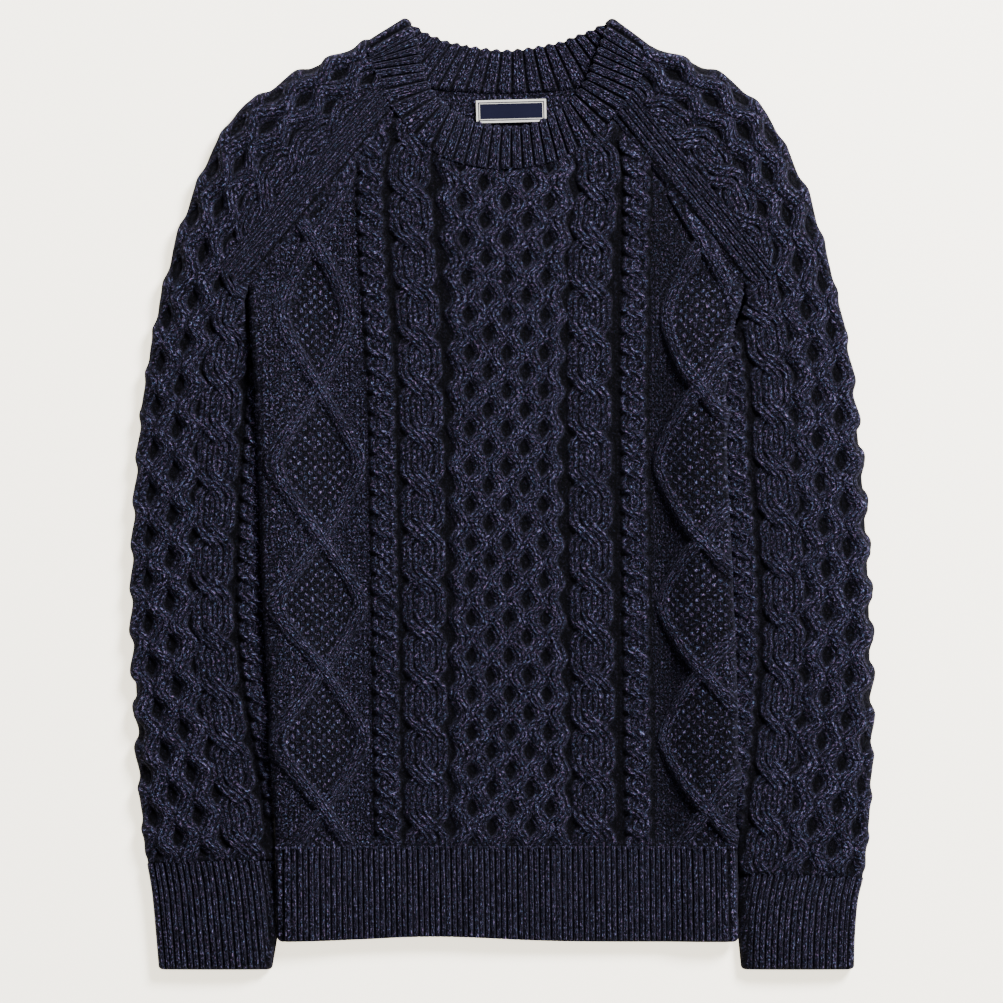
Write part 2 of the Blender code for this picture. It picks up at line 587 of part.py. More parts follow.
def sleeve_rows(table, raglan, steps, fold_in, closed_only=False, necks=None):
    """Inner surface of a sleeve, its distance from the outer fold, and how far it faces up."""
    index = np.arange(len(table), dtype=float)
    if closed_only:
        wanted = np.linspace(0, len(table) - 1, steps + 1)
        first_closed = -1
    else:
        path = along(column(table, 0)[:, None] * [1, 0] + column(table, 1)[:, None] * [0, 1])
        wanted = np.interp(np.linspace(0, path[-1], steps + 1), path, index)
        first_closed = RAGLAN_ROWS - 1
    rows = []
    for p in wanted:
        fold = np.array([smooth(index, column(table, 0), p), smooth(index, column(table, 1), p)])
        if p <= first_closed:
            f = p / first_closed
            top = np.array(raglan[0][:2]) * (1 - f) + np.array(raglan[0][2:]) * f
            low = np.array(raglan[1][:2]) * (1 - f) + np.array(raglan[1][2:]) * f
        else:
            known = index[max(first_closed, 0):]
            tail = table[max(first_closed, 0):]
            top = np.array([np.interp(p, known, column(tail, 2)), np.interp(p, known, column(tail, 3))])
            low = top
            if first_closed >= 0:
                back = np.array(raglan[1][2:])
                low = top + (back - np.array(tail[0][2:4])) * max(0, 1 - (p - first_closed) / 1.0)
        rise = float(smooth(index, column(table, 5), p))
        closed = 1.0 if closed_only else float(ease((p - first_closed) / 1.0))
        rows.append((fold, top, low, rise, closed, p))
    grid = []
    distance = []
    facing = []
    from_edge = []
    for fold, top, low, rise, closed, p in rows:
        middle = (REST + rise) / 2
        half = (rise - REST) / 2
        turned = np.array([(TURN, rise - 0.0030), (TURN + 0.0002, rise - 0.0018),
                           (TURN + 0.0012, rise - 0.0006),
                           (TURN + 0.0030, rise)])
        shut = np.array([(TURN, middle + 0.0003), (TURN + 0.3 * half, middle + 0.7 * half),
                         (TURN + half, rise - 0.0001), (TURN + 2 * half, rise)])
        upper = turned + closed * (shut - turned)
        flat = np.array([(0.0110, REST), (0.0070, REST), (0.0030, REST), (SLIT, REST)])
        curl = np.array([(TURN + 2 * half, REST), (TURN + half, REST),
                         (TURN + 0.3 * half, middle - 0.7 * half),
                         (TURN, middle - 0.0003)])
        lower = flat + closed * (curl - flat)
        to_top = np.linalg.norm(top - fold)
        to_low = np.linalg.norm(low - fold)
        turn = np.linspace(90, -90, 13) * np.pi / 180
        bend = [(fold_in + 0.0040 - 0.0040 * np.cos(v), middle + half * np.sin(v)) for v in turn]
        share = np.linspace(0, 1, 61)
        start = to_top - upper[-1, 0]
        flat_top = np.stack([start + share * (fold_in + 0.0040 - start),
                             rise + 0.0012 * np.sin(np.pi * share)], 1)
        end = to_low - lower[0, 0]
        flat_low = np.stack([fold_in + 0.0040 + share * (end - fold_in - 0.0040), np.full(61, REST)], 1)
        first = np.stack([to_top - upper[:, 0], upper[:, 1]], 1)
        last = np.stack([to_low - lower[:, 0], lower[:, 1]], 1)
        parts = [resample(rounded(first, 8), np.linspace(0, 1, 17)), flat_top,
                 resample(np.array(bend), np.linspace(0, 1, 25)), flat_low,
                 resample(rounded(last, 8), np.linspace(0, 1, 17))]
        faces_up = [np.ones(17), np.ones(61), np.linspace(1, 0, 25), np.zeros(61), np.zeros(17)]
        line = np.vstack([parts[0]] + [q[1:] for q in parts[1:]])
        up = np.concatenate([faces_up[0]] + [q[1:] for q in faces_up[1:]])
        way_top = (top - fold) / to_top
        way_low = (low - fold) / to_low
        way = up[:, None] * way_top + (1 - up[:, None]) * way_low
        plan = fold + line[:, :1] * way
        if necks is not None and p < 2:
            upper_neck = resample(necks[0], np.clip(line[:, 0] / to_top, 0, 1)) - fold - line[:, :1] * way_top
            lower_neck = resample(necks[1], np.clip(line[:, 0] / to_low, 0, 1)) - fold - line[:, :1] * way_low
            plan = plan + (up[:, None] * upper_neck + (1 - up[:, None]) * lower_neck) * (1 - p / 2) ** 2
        grid.append(np.column_stack([plan, line[:, 1]]))
        run = along(line)
        past_fold = np.arange(len(run)) > 76
        distance.append(line[76, 0] - (run - run[76]) * np.where(past_fold, 2.0, 1.0))
        facing.append(up)
        from_edge.append(run)
    return np.array(grid), np.array(distance), np.array(facing), np.array(from_edge), [r[5] for r in rows]


SLEEVE_COLUMNS = [0, 8, 16, 22, 28, 33, 38, 43, 48, 53, 58, 63, 68, 73, 76, 82, 88, 94, 100, 130, 160, 176]
CUFF_COLUMNS = [0, 8, 16] + list(range(18, 77, 2)) + [82, 88, 94, 100, 160, 168, 176]


def sleeve(name, table, raglan, necks):
    grid, distance, facing, edge, at = sleeve_rows(table, raglan, 40, 0.0075, necks=necks)
    index = np.arange(len(table), dtype=float)
    plait_at = smooth(index, column(table, 4), np.array(at))[:, None]
    length = along(grid[:, 60])[:, None] + 0 * distance
    shown = ease(facing * 1.3) * ease(edge / 0.009 - 0.3)
    wall = WALL + (REST - WALL) * (1 - facing) + sleeve_relief(plait_at - distance, length) * shown
    outer = oriented(grid, wall)
    knit(name, outer[:, SLEEVE_COLUMNS], grid[:, SLEEVE_COLUMNS], spread(len(grid), 14),
         spread(len(SLEEVE_COLUMNS), 10), NAVY)


def cuff(name, table):
    grid, distance, facing, edge, at = sleeve_rows(table, None, 3, 0.0064, closed_only=True)
    shown = ease(facing * 1.3) * ease(edge / 0.009 - 0.3)
    wall = WALL + (REST - WALL) * (1 - facing) + ribs(distance - 0.010, CUFF_RIB) * shown
    outer = oriented(grid, wall)
    knit(name, outer[:, CUFF_COLUMNS], grid[:, CUFF_COLUMNS], [0, 3], spread(len(CUFF_COLUMNS), 14), NAVY)


def oriented(grid, wall):
    """Outer points, with the normals turned outward on either side of the body."""
    way = outward(grid)
    if way[len(grid) // 2, 40, 2] < 0:
        way = -way
    outer = grid + way * wall[:, :, None]
    outer[:, :, 2] = np.maximum(outer[:, :, 2], 0)
    return outer


left_necks = (neck_line(0, FRONT_RAGLAN[0], NECK_FRONT, NECK_SLIT),
              neck_line(BACK_RAGLAN[0], 8, NECK_BACK, NECK_SLIT)[::-1])
right_necks = (neck_line(FRONT_RAGLAN[1], 12, NECK_FRONT, NECK_SLIT)[::-1],
               neck_line(0, BACK_RAGLAN[1], NECK_BACK, NECK_SLIT))
sleeve("sleeve_left", SLEEVE_LEFT, RAGLAN_LEFT, left_necks)
sleeve("sleeve_right", SLEEVE_RIGHT, RAGLAN_RIGHT, right_necks)
cuff("cuff_left", CUFF_LEFT)
cuff("cuff_right", CUFF_RIGHT)


# Neckband: a ring from the left back seam over the left peak, down the front and round

def band_path(table, start, end, inset):
    """Seam and free edges between two peaks, from inset after one to inset before the other."""
    rows = np.array(table)
    seam = rounded(rows[:, 0:2])
    free = rounded(rows[:, 2:4])
    f = np.linspace(start, end, 400)
    middle = (resample(seam, f) + resample(free, f)) / 2
    run = along(middle)
    keep = np.interp(np.linspace(inset, run[-1] - inset, 400), run, f)
    return resample(seam, keep), resample(free, keep), run[-1] - 2 * inset


BAND_RISE = 0.0095      # inner surface of the front half
BAND_INSET = 0.0120
BAND_COLUMNS = 2        # per rib


def neckband():
    front_seam, front_free, front_run = band_path(NECK_FRONT, 0, 1, BAND_INSET)
    back_seam, back_free, back_run = band_path(NECK_BACK, 0, 1, BAND_INSET)
    middle = (BAND_RISE + REST) / 2
    half = (BAND_RISE - REST) / 2
    peaks = {"left": np.array(NECK_FRONT[0]), "right": np.array(NECK_FRONT[-1])}
    cut = 0.72              # share of the back half at which the band is sewn together

    def part(seam, free, f, z, face):
        s = resample(seam, f)
        e = resample(free, f)
        return [(s[k], e[k], z, face) for k in range(len(f))]

    def turn(seam_a, free_a, seam_b, free_b, peak, z_from, z_to):
        """The fold at a peak, between the end of one half and the start of the other."""
        pieces = []
        for angle in np.linspace(0, np.pi, 11)[1:-1]:
            share = 0.5 - 0.5 * np.cos(angle)
            out = np.sin(angle)
            s = seam_a + share * (seam_b - seam_a)
            e = free_a + share * (free_b - free_a)
            tip_s = peak[0:2] - s
            tip_e = peak[2:4] - e
            s = s + tip_s * out * 0.18
            e = e + tip_e * out * 0.42
            z = (z_from + z_to) / 2 + (z_from - z_to) / 2 * np.cos(angle)
            pieces.append((s, e, z, 0.5 + 0.5 * np.cos(angle) * (1 if z_from > z_to else -1)))
        return pieces

    back_first = np.linspace(cut, 1, int(BAND_BACK_RIBS * (1 - cut) * BAND_COLUMNS) + 1)
    back_last = np.linspace(0, cut - 0.002, int(BAND_BACK_RIBS * cut * BAND_COLUMNS) + 1)
    front_all = np.linspace(0, 1, BAND_FRONT_RIBS * BAND_COLUMNS + 1)
    ring = part(back_seam, back_free, back_first, REST, 0.0)
    ring += turn(back_seam[-1], back_free[-1], front_seam[0], front_free[0], peaks["left"], REST, BAND_RISE)
    ring += part(front_seam, front_free, front_all, BAND_RISE, 1.0)
    ring += turn(front_seam[-1], front_free[-1], back_seam[0], back_free[0], peaks["right"], BAND_RISE, REST)
    ring += part(back_seam, back_free, back_last, REST, 0.0)
    steps = np.linspace(0, 1, 5)
    grid = []
    up = []
    for seam, free, z, face in ring:
        line = seam[None, :] + steps[:, None] * (free - seam)[None, :]
        bow = 0.0012 * np.sin(np.pi * steps) * face
        grid.append(np.column_stack([line, z + bow]))
        up.append(np.full(5, face))
    grid = np.array(grid).transpose(1, 0, 2)
    up = np.array(up).T
    place = np.concatenate([
        np.arange(len(back_first)) / BAND_COLUMNS, np.full(9, 0.5),
        np.arange(len(front_all)) / BAND_COLUMNS, np.full(9, 0.5),
        np.arange(len(back_last)) / BAND_COLUMNS])
    high = ribs(place, 1.0)[None, :] * np.ones((5, 1))
    way = outward(grid)
    if way[2, len(back_first) + 60, 2] < 0:
        way = -way
    wall = (WALL + 0.0008) * up + REST * (1 - up) + high * ease(up * 1.4)
    outer = grid + way * wall[:, :, None]
    outer[:, :, 2] = np.maximum(outer[:, :, 2], 0)
    inner = grid.copy()
    inner[1:4, :, 2] += (high * (up < 0.01))[1:4]
    rows = [0, 1, 3, 4]
    columns = list(range(grid.shape[1]))
    knit("neckband", outer[rows], inner[rows], [0, 1, 2, 3], columns, NAVY)


neckband()


def label():
    """A thin woven label on the inside of the back, just under the band."""
    c = np.cos(LABEL_TURN)
    s = np.sin(LABEL_TURN)
    w, h, d = LABEL_SIZE
    points = []
    for z in (REST + SLIT, REST + SLIT + d):
        for x, y in ((-w / 2, -h / 2), (w / 2, -h / 2), (w / 2, h / 2), (-w / 2, h / 2)):
            points.append((LABEL_CENTRE[0] + c * x - s * y, LABEL_CENTRE[1] + s * x + c * y, z))
    faces = [(0, 3, 2, 1), (4, 5, 6, 7), (0, 1, 5, 4), (1, 2, 6, 5), (2, 3, 7, 6), (3, 0, 4, 7)]
    return solid("label", points, faces, LABEL_BLUE)


label()
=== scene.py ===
"""A dark navy cable-knit sweater laid flat, seen from straight above.

Every panel is a knitted wall: an inner surface from sections, and an outer one raised
stitch column by stitch column, each column on its own path, so that cables cross over
one another.  Each face keeps its place in its own column, which the knit material
reads to draw the stitches.
"""
import math

import bpy
import numpy as np
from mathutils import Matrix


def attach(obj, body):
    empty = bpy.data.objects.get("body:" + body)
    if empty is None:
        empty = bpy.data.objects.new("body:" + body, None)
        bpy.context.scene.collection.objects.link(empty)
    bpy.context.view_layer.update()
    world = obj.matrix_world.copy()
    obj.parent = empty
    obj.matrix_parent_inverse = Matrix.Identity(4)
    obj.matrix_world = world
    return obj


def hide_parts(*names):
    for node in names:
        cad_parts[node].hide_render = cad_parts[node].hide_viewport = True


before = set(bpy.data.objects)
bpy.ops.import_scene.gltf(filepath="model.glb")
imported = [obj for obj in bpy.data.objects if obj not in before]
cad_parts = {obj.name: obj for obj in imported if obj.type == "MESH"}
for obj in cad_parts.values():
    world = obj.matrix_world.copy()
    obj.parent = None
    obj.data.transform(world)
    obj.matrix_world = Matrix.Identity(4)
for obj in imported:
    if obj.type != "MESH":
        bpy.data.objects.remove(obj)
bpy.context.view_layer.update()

# Walls, as in the solids
WALL = 0.0040
REST = 0.0050
SLIT = -0.0016          # the shells meet at the raglan seams, so that no gap shows
SIDE_SLIT = 0.0012
BACK_TUCK = 0.0040      # the back panel reaches this far under the neckband
TURN = 0.0048           # how far in the fold at a side reaches
YOKE_TURN = 0.0036
SEAM_FULL = 0.0440      # how far in a side seam lies under the front
FLOOR_LIFT = 0.0002     # the shells' undersides stand this far off the floor

# One stitch of the plain knit
STITCH_WIDE = 0.0040
STITCH_HIGH = 0.00375

# The front's centre line leans a little from this point
CENTRE_X = 0.0005
CENTRE_Y = 0.20
CENTRE_SLANT = 0.0135

# Cables: distances from the front's centre line, repeats up the panel, heights
HONEY_SWING = 0.0041
HONEY_SLANT = 0.0005
HONEY_REPEAT = 0.0292
HONEY_START = 0.1964
HONEY_CORDS = 6
HONEY_HALF = 0.275       # half a column, as a share of the cords' spacing
HONEY_LIFT = 0.0024
HONEY_RIDE = 0.0008
HONEY_TILT = 0.48
PLAIT_REPEAT = 0.0376
PLAIT_START = 0.1594
PLAIT_CROSS = 0.0250
PLAIT_WALE = 0.0083
PLAIT_LIFT = 0.0014
PLAIT_OVER = 0.0012
PLAIT_LAG = 0.0036
ROPE_REPEAT = 0.0154
ROPE_START = 0.1550
ROPE_CROSS = 0.0138
ROPE_WALE = 0.0102
ROPE_SIDE = 0.0120       # from a rope's middle to the open ground beside it
ROPE_LIFT = 0.0012
ROPE_OVER = 0.0014
CABLE_BOW = 0.07         # how much a cable spreads between its crossings
CABLE_CROWN = 0.0007
CABLE_ROUND = 0.0008
DIAMOND_LEFT = -0.1470
DIAMOND_RIGHT = 0.1530
DIAMOND_HALF = 0.0335
DIAMOND_TOP = 0.0260     # the first one below the neck is narrower
DIAMOND_NARROWS = (0.060, 0.140)
DIAMOND_COLUMN = 0.0029
DIAMOND_COLUMN_HALF = 0.0034
DIAMOND_LIFT = 0.0019
DIAMOND_RIDE = 0.0012
DIAMOND_TIPS = 0.93
DIAMOND_CROSSINGS = (-0.3500, -0.2410, -0.1348, -0.0342, 0.0830, 0.1960, 0.3050)

# Sleeve columns, outward from the plait's middle
SLEEVE_ROPE = -0.0300
SLEEVE_ROPE_SIDE = 0.0100
RAGLAN_BAND = 0.0250
RAGLAN_WALE = 0.0050
RAGLAN_PLACE = 1.0       # the band's columns are numbered from here, past all others

RIB_LIFT = 0.0016
HEM_RIB = 0.0085
CUFF_RIB = 0.0092
BAND_FRONT_RIBS = 32
BAND_BACK_RIBS = 18

# y, left, right, rise_left, rise_right, seam
BODY = (
    (-0.3442, -0.1729, 0.1813, 0.0125, 0.0125, 0.0400),
    (-0.3118, -0.1742, 0.1819, 0.0130, 0.0130, 0.0400),
    (-0.2722, -0.1757, 0.1817, 0.0145, 0.0140, 0.0410),
    (-0.2387, -0.1775, 0.1813, 0.0200, 0.0190, 0.0420),
    (-0.1886, -0.1790, 0.1813, 0.0235, 0.0235, 0.0430),
    (-0.1347, -0.1821, 0.1806, 0.0245, 0.0245, 0.0440),
    (-0.0808, -0.1852, 0.1783, 0.0245, 0.0245, 0.0440),
    (-0.0269, -0.1871, 0.1759, 0.0245, 0.0245, 0.0440),
    (0.0154, -0.1883, 0.1736, 0.0245, 0.0245, 0.0440),
    (0.0577, -0.1898, 0.1729, 0.0245, 0.0245, 0.0420),
    (0.0962, -0.1929, 0.1744, 0.0245, 0.0245, 0.0340),
    (0.1309, -0.1960, 0.1783, 0.0205, 0.0205, 0.0200),
    (0.1500, -0.1970, 0.1835, 0.0155, 0.0155, 0.0110),
    (0.1625, -0.1966, 0.1873, 0.0125, 0.0125, 0.0048),
)
# y, middle of the honeycomb, spacing of its cords
HONEY_LINES = (
    (-0.3500, 0.0000, 0.0152),
    (-0.2400, -0.0003, 0.0149),
    (-0.1700, -0.0006, 0.0146),
    (-0.0500, -0.0008, 0.0140),
    (0.0300, -0.0006, 0.0140),
    (0.1150, 0.0012, 0.0144),
    (0.1700, 0.0016, 0.0154),
    (0.2400, 0.0020, 0.0172),
    (0.3500, 0.0020, 0.0178),
)
# y, middles of the left and the right plait, of the left and the right rope
CABLE_LINES = (
    (-0.3500, -0.0646, 0.0636, -0.0945, 0.0978),
    (0.0300, -0.0646, 0.0644, -0.0948, 0.0985),
    (0.0860, -0.0650, 0.0646, -0.0950, 0.0985),
    (0.1400, -0.0666, 0.0656, -0.0984, 0.1000),
    (0.1810, -0.0690, 0.0665, -0.1005, 0.1019),
    (0.2160, -0.0712, 0.0705, -0.1025, 0.1030),
    (0.2500, -0.0734, 0.0755, -0.1035, 0.1050),
)
# along the sleeve from the cuff, out from the plait, spacing of its cords
SLEEVE_HONEY_LINES = (
    (-0.1000, 0.0672, 0.0172),
    (0.9000, 0.0672, 0.0172),
)
SLEEVE_HONEY_REPEAT = 0.0329
SLEEVE_PLAIT_REPEAT = 0.0397
SLEEVE_PLAIT_WALE = 0.0078
# plait start, honeycomb start, which way the strands cross
LEFT_STARTS = (0.0112, 0.0013, -1)
RIGHT_STARTS = (0.0367, 0.0040, 1)
UNDERARM = 0.1625
HEM_TOP = -0.2718
HEM_END = -0.3442
HEM_WAVE = 0.0042        # how far the hem's edge rises left of the middle
MIDDLE_RISE = 0.0085
YOKE_RISE = 0.0095
UNDERARM_RISE = 0.0125

# seam_x, seam_y, free_x, free_y
NECK_FRONT = (
    (-0.1066, 0.3488, -0.0728, 0.3657),
    (-0.0997, 0.3303, -0.0651, 0.3488),
    (-0.0930, 0.3118, -0.0604, 0.3257),
    (-0.0820, 0.2941, -0.0527, 0.3103),
    (-0.0651, 0.2749, -0.0397, 0.2972),
    (-0.0404, 0.2580, -0.0212, 0.2880),
    (0.0004, 0.2510, 0.0019, 0.2837),
    (0.0412, 0.2575, 0.0240, 0.2862),
    (0.0674, 0.2733, 0.0462, 0.2990),
    (0.0851, 0.2911, 0.0585, 0.3118),
    (0.0997, 0.3070, 0.0658, 0.3234),
    (0.1082, 0.3246, 0.0728, 0.3411),
    (0.1145, 0.3457, 0.0820, 0.3657),
)
NECK_BACK = (
    (0.1145, 0.3457, 0.0820, 0.3657),
    (0.0982, 0.3288, 0.0689, 0.3588),
    (0.0735, 0.3188, 0.0558, 0.3538),
    (0.0489, 0.3122, 0.0404, 0.3484),
    (0.0004, 0.3095, 0.0019, 0.3430),
    (-0.0474, 0.3118, -0.0366, 0.3484),
    (-0.0712, 0.3180, -0.0504, 0.3527),
    (-0.0920, 0.3303, -0.0620, 0.3580),
    (-0.1066, 0.3488, -0.0728, 0.3657),
)
# the rows of those tables at which the raglan seams start
FRONT_RAGLAN = (3, 9)
BACK_RAGLAN = (6, 2)

# neck_x, neck_y, underarm_x, underarm_y, of the upper layer and of the lower one
RAGLAN_LEFT = (
    (-0.0836, 0.2946, -0.1970, 0.1625),
    (-0.0720, 0.3172, -0.1950, 0.1600),
)
RAGLAN_RIGHT = (
    (0.0862, 0.2900, 0.1877, 0.1625),
    (0.0743, 0.3180, 0.1857, 0.1600),
)
RAGLAN_ROWS = 8

# fold_x, fold_y, inner_x, inner_y, plait, rise
SLEEVE_LEFT = (
    (-0.1085, 0.3478, 0.0, 0.0, 0.0400, 0.0090),
    (-0.1313, 0.3380, 0.0, 0.0, 0.0480, 0.0095),
    (-0.1528, 0.3296, 0.0, 0.0, 0.0530, 0.0100),
    (-0.1783, 0.3126, 0.0, 0.0, 0.0560, 0.0110),
    (-0.2021, 0.2964, 0.0, 0.0, 0.0570, 0.0115),
    (-0.2214, 0.2672, 0.0, 0.0, 0.0570, 0.0115),
    (-0.2360, 0.2356, 0.0, 0.0, 0.0565, 0.0110),
    (-0.2499, 0.1994, -0.1970, 0.1625, 0.0565, 0.0105),
    (-0.2599, 0.1648, -0.1980, 0.1470, 0.0570, 0.0100),
    (-0.2676, 0.1309, -0.1945, 0.1220, 0.0580, 0.0095),
    (-0.2753, 0.0847, -0.1810, 0.0790, 0.0595, 0.0095),
    (-0.2807, 0.0385, -0.1765, 0.0350, 0.0620, 0.0095),
    (-0.2845, -0.0192, -0.1745, -0.0200, 0.0625, 0.0095),
    (-0.2861, -0.0808, -0.1735, -0.0800, 0.0625, 0.0095),
    (-0.2861, -0.1347, -0.1735, -0.1330, 0.0660, 0.0095),
    (-0.2830, -0.1886, -0.1750, -0.1860, 0.0710, 0.0095),
    (-0.2784, -0.2387, -0.1745, -0.2350, 0.0750, 0.0095),
    (-0.2745, -0.2826, -0.1738, -0.2790, 0.0770, 0.0090),
)
SLEEVE_RIGHT = (
    (0.1167, 0.3450, 0.0, 0.0, 0.0420, 0.0090),
    (0.1398, 0.3373, 0.0, 0.0, 0.0490, 0.0095),
    (0.1621, 0.3280, 0.0, 0.0, 0.0540, 0.0100),
    (0.1860, 0.3111, 0.0, 0.0, 0.0560, 0.0110),
    (0.2044, 0.2911, 0.0, 0.0, 0.0565, 0.0115),
    (0.2214, 0.2595, 0.0, 0.0, 0.0560, 0.0115),
    (0.2337, 0.2348, 0.0, 0.0, 0.0560, 0.0110),
    (0.2452, 0.1994, 0.1877, 0.1625, 0.0575, 0.0105),
    (0.2545, 0.1656, 0.1860, 0.1470, 0.0590, 0.0100),
    (0.2630, 0.1309, 0.1765, 0.1220, 0.0610, 0.0095),
    (0.2714, 0.0847, 0.1640, 0.0790, 0.0635, 0.0095),
    (0.2776, 0.0385, 0.1610, 0.0350, 0.0690, 0.0095),
    (0.2822, -0.0192, 0.1615, -0.0200, 0.0690, 0.0095),
    (0.2853, -0.0808, 0.1645, -0.0800, 0.0690, 0.0095),
    (0.2861, -0.1347, 0.1680, -0.1330, 0.0700, 0.0095),
    (0.2853, -0.1886, 0.1712, -0.1860, 0.0730, 0.0095),
    (0.2830, -0.2387, 0.1768, -0.2350, 0.0760, 0.0095),
    (0.2787, -0.2930, 0.1802, -0.2900, 0.0785, 0.0090),
)
CUFF_LEFT = (
    (-0.2745, -0.2834, -0.1738, -0.2798, 0.0, 0.0085),
    (-0.2707, -0.3057, -0.1730, -0.3057, 0.0, 0.0085),
    (-0.2676, -0.3388, -0.1730, -0.3388, 0.0, 0.0085),
    (-0.2653, -0.3657, -0.1775, -0.3657, 0.0, 0.0085),
)
CUFF_RIGHT = (
    (0.2787, -0.2938, 0.1802, -0.2908, 0.0, 0.0085),
    (0.2745, -0.3118, 0.1806, -0.3118, 0.0, 0.0085),
    (0.2722, -0.3388, 0.1812, -0.3388, 0.0, 0.0085),
    (0.2714, -0.3657, 0.1838, -0.3657, 0.0, 0.0085),
)

LABEL_CENTRE = (0.0067, 0.2960)
LABEL_SIZE = (0.0540, 0.0175)
LABEL_TURN = 0.025
LABEL_BORDER = 0.0015
LABEL_LINE = 0.0026
LABEL_LINE_HALF = 0.00025
LABEL_GAP = 0.0016
LABEL_THICK = 0.0008


# Lines and sections

ROUND_STEPS = 24         # points on a rounded line for each of its corners


def column(table, index):
    return np.array([row[index] for row in table], float)


def smooth(known, values, wanted):
    """A curve through the known values, without corners at them."""
    known = np.asarray(known, float)
    values = np.asarray(values, float)
    slope = np.gradient(values, known)
    wanted = np.clip(wanted, known[0], known[-1])
    at = np.clip(np.searchsorted(known, wanted) - 1, 0, len(known) - 2)
    width = known[at + 1] - known[at]
    f = (wanted - known[at]) / width
    start = (1 + 2 * f) * (1 - f) ** 2 * values[at] + f * (1 - f) ** 2 * width * slope[at]
    end = f * f * (3 - 2 * f) * values[at + 1] + f * f * (f - 1) * width * slope[at + 1]
    return start + end


def ease(x):
    x = np.clip(x, 0, 1)
    return x * x * (3 - 2 * x)


def along(points):
    """Distance run along a line of points, from 0."""
    steps = np.linalg.norm(np.diff(points, axis=0), axis=1)
    return np.concatenate([[0], np.cumsum(steps)])


def resample(points, fractions):
    run = along(points)
    wanted = np.asarray(fractions) * run[-1]
    return np.stack([np.interp(wanted, run, points[:, k]) for k in range(points.shape[1])], 1)


def rounded(corners, each=ROUND_STEPS):
    """A smooth line that starts and ends at its corner points and bends past the others."""
    points = np.asarray(corners, float)
    padded = np.vstack([2 * points[0] - points[1], points, 2 * points[-1] - points[-2]])
    line = []
    for k in range(len(points) - 1):
        a, b, c, d = padded[k:k + 4]
        for f in np.linspace(0, 1, each, endpoint=False):
            line.append(0.5 * (2 * b + (c - a) * f + (2 * a - 5 * b + 4 * c - d) * f ** 2
                               + (3 * b - a - 3 * c + d) * f ** 3))
    line.append(points[-1])
    return np.array(line)


def unit(vectors):
    return vectors / np.maximum(np.linalg.norm(vectors, axis=-1, keepdims=True), 1e-12)


def outward(grid):
    """Unit normals of a grid of points, rows first; the grid's four ends are cut square."""
    across = np.gradient(grid, axis=1)
    up = np.gradient(grid, axis=0)
    normal = unit(np.cross(across, up))
    for end, beside in ((0, 1), (-1, -2)):
        way = unit((grid[end] - grid[beside]) * [1, 1, 0])
        normal[end] -= np.sum(normal[end] * way, axis=1)[:, None] * way
        way = unit(grid[:, end] - grid[:, beside])
        normal[:, end] -= np.sum(normal[:, end] * way, axis=1)[:, None] * way
    return unit(normal)


def raised(inner, wall):
    way = outward(inner)
    if way[len(inner) // 2, inner.shape[1] // 3, 2] < 0:
        way = -way
    outer = inner + way * wall[:, :, None]
    outer[:, :, 2] = np.maximum(outer[:, :, 2], FLOOR_LIFT)
    return outer


def arc_across(grid):
    steps = np.linalg.norm(np.diff(grid, axis=1), axis=2)
    return np.concatenate([np.zeros((len(grid), 1)), np.cumsum(steps, axis=1)], axis=1)


def neck_line(first, last, table, shift=0.0):
    """A line along the seam edge of the band, moved away from it by shift."""
    rows = np.array(table)
    kept = slice(ROUND_STEPS * first, ROUND_STEPS * last + 1)
    seam = rounded(rows[:, 0:2])[kept]
    free = rounded(rows[:, 2:4])[kept]
    return seam + unit(seam - free) * shift


# Stitch columns.  A wale is one column of stitches: its middle, how high it rides, its
# half width, and its slope, each for every height t up the panel.

BULGE = 0.0015


def rib_profile(offset, half):
    """How far a stitch column bulges at an offset from its middle."""
    return np.sqrt(np.clip(1 - (offset / half) ** 2, 0, 1))


def stitch_height(s, t, wales, ground):
    """Height at each point, and the wale that wins there."""
    best = ground.copy()
    which = np.full(s.shape, -1)
    for number, wale in enumerate(wales):
        middle, lift, half, tilt = wale(t)
        offset = s - middle
        inside = lift + tilt * offset + BULGE * rib_profile(offset, half)
        high = np.where(np.abs(offset) < half * 1.02, inside, -1.0)
        win = high > best
        best = np.where(win, high, best)
        which = np.where(win, number, which)
    return best, which


def place_in_wale(s, t, wales, number):
    """Offset from the middle of a chosen wale, -1 to 1 from edge to edge."""
    out = np.zeros(s.shape)
    for k, wale in enumerate(wales):
        mask = number == k
        if mask.any():
            middle, _, half, _ = wale(t[mask])
            out[mask] = (s[mask] - middle) / half
    return out


def straight(middle, lift, half):
    def wale(t):
        return middle + 0 * t, lift + 0 * t, half + 0 * t, 0 * t
    return wale


def honeycomb_wales(lines, start, repeat, edge_sway):
    """Pairs of columns that sway against their neighbours and leave staggered hollows."""
    wales = []
    outermost = HONEY_CORDS - 1
    for cord in range(HONEY_CORDS):
        sign = 1 if cord % 2 == (HONEY_CORDS // 2) % 2 else -1
        for side in (-1, 1):
            def wale(t, cord=cord, sign=sign, side=side):
                centre = np.interp(t, column(lines, 0), column(lines, 1))
                pitch = np.interp(t, column(lines, 0), column(lines, 2))
                turn = 2 * np.pi * (t - start) / repeat
                base = centre + (cord - outermost / 2) * pitch
                half = HONEY_HALF * pitch
                sway = sign * HONEY_SWING * np.cos(turn) - HONEY_SLANT * np.sin(2 * turn)
                if side * (2 * cord - outermost) == outermost:
                    sway = edge_sway * sway
                middle = base + sway + side * half * 0.94
                lift = HONEY_LIFT - HONEY_RIDE * sign * np.sin(turn)
                return middle, lift, half, -HONEY_TILT * side + 0 * t
            wales.append(wale)
    return wales


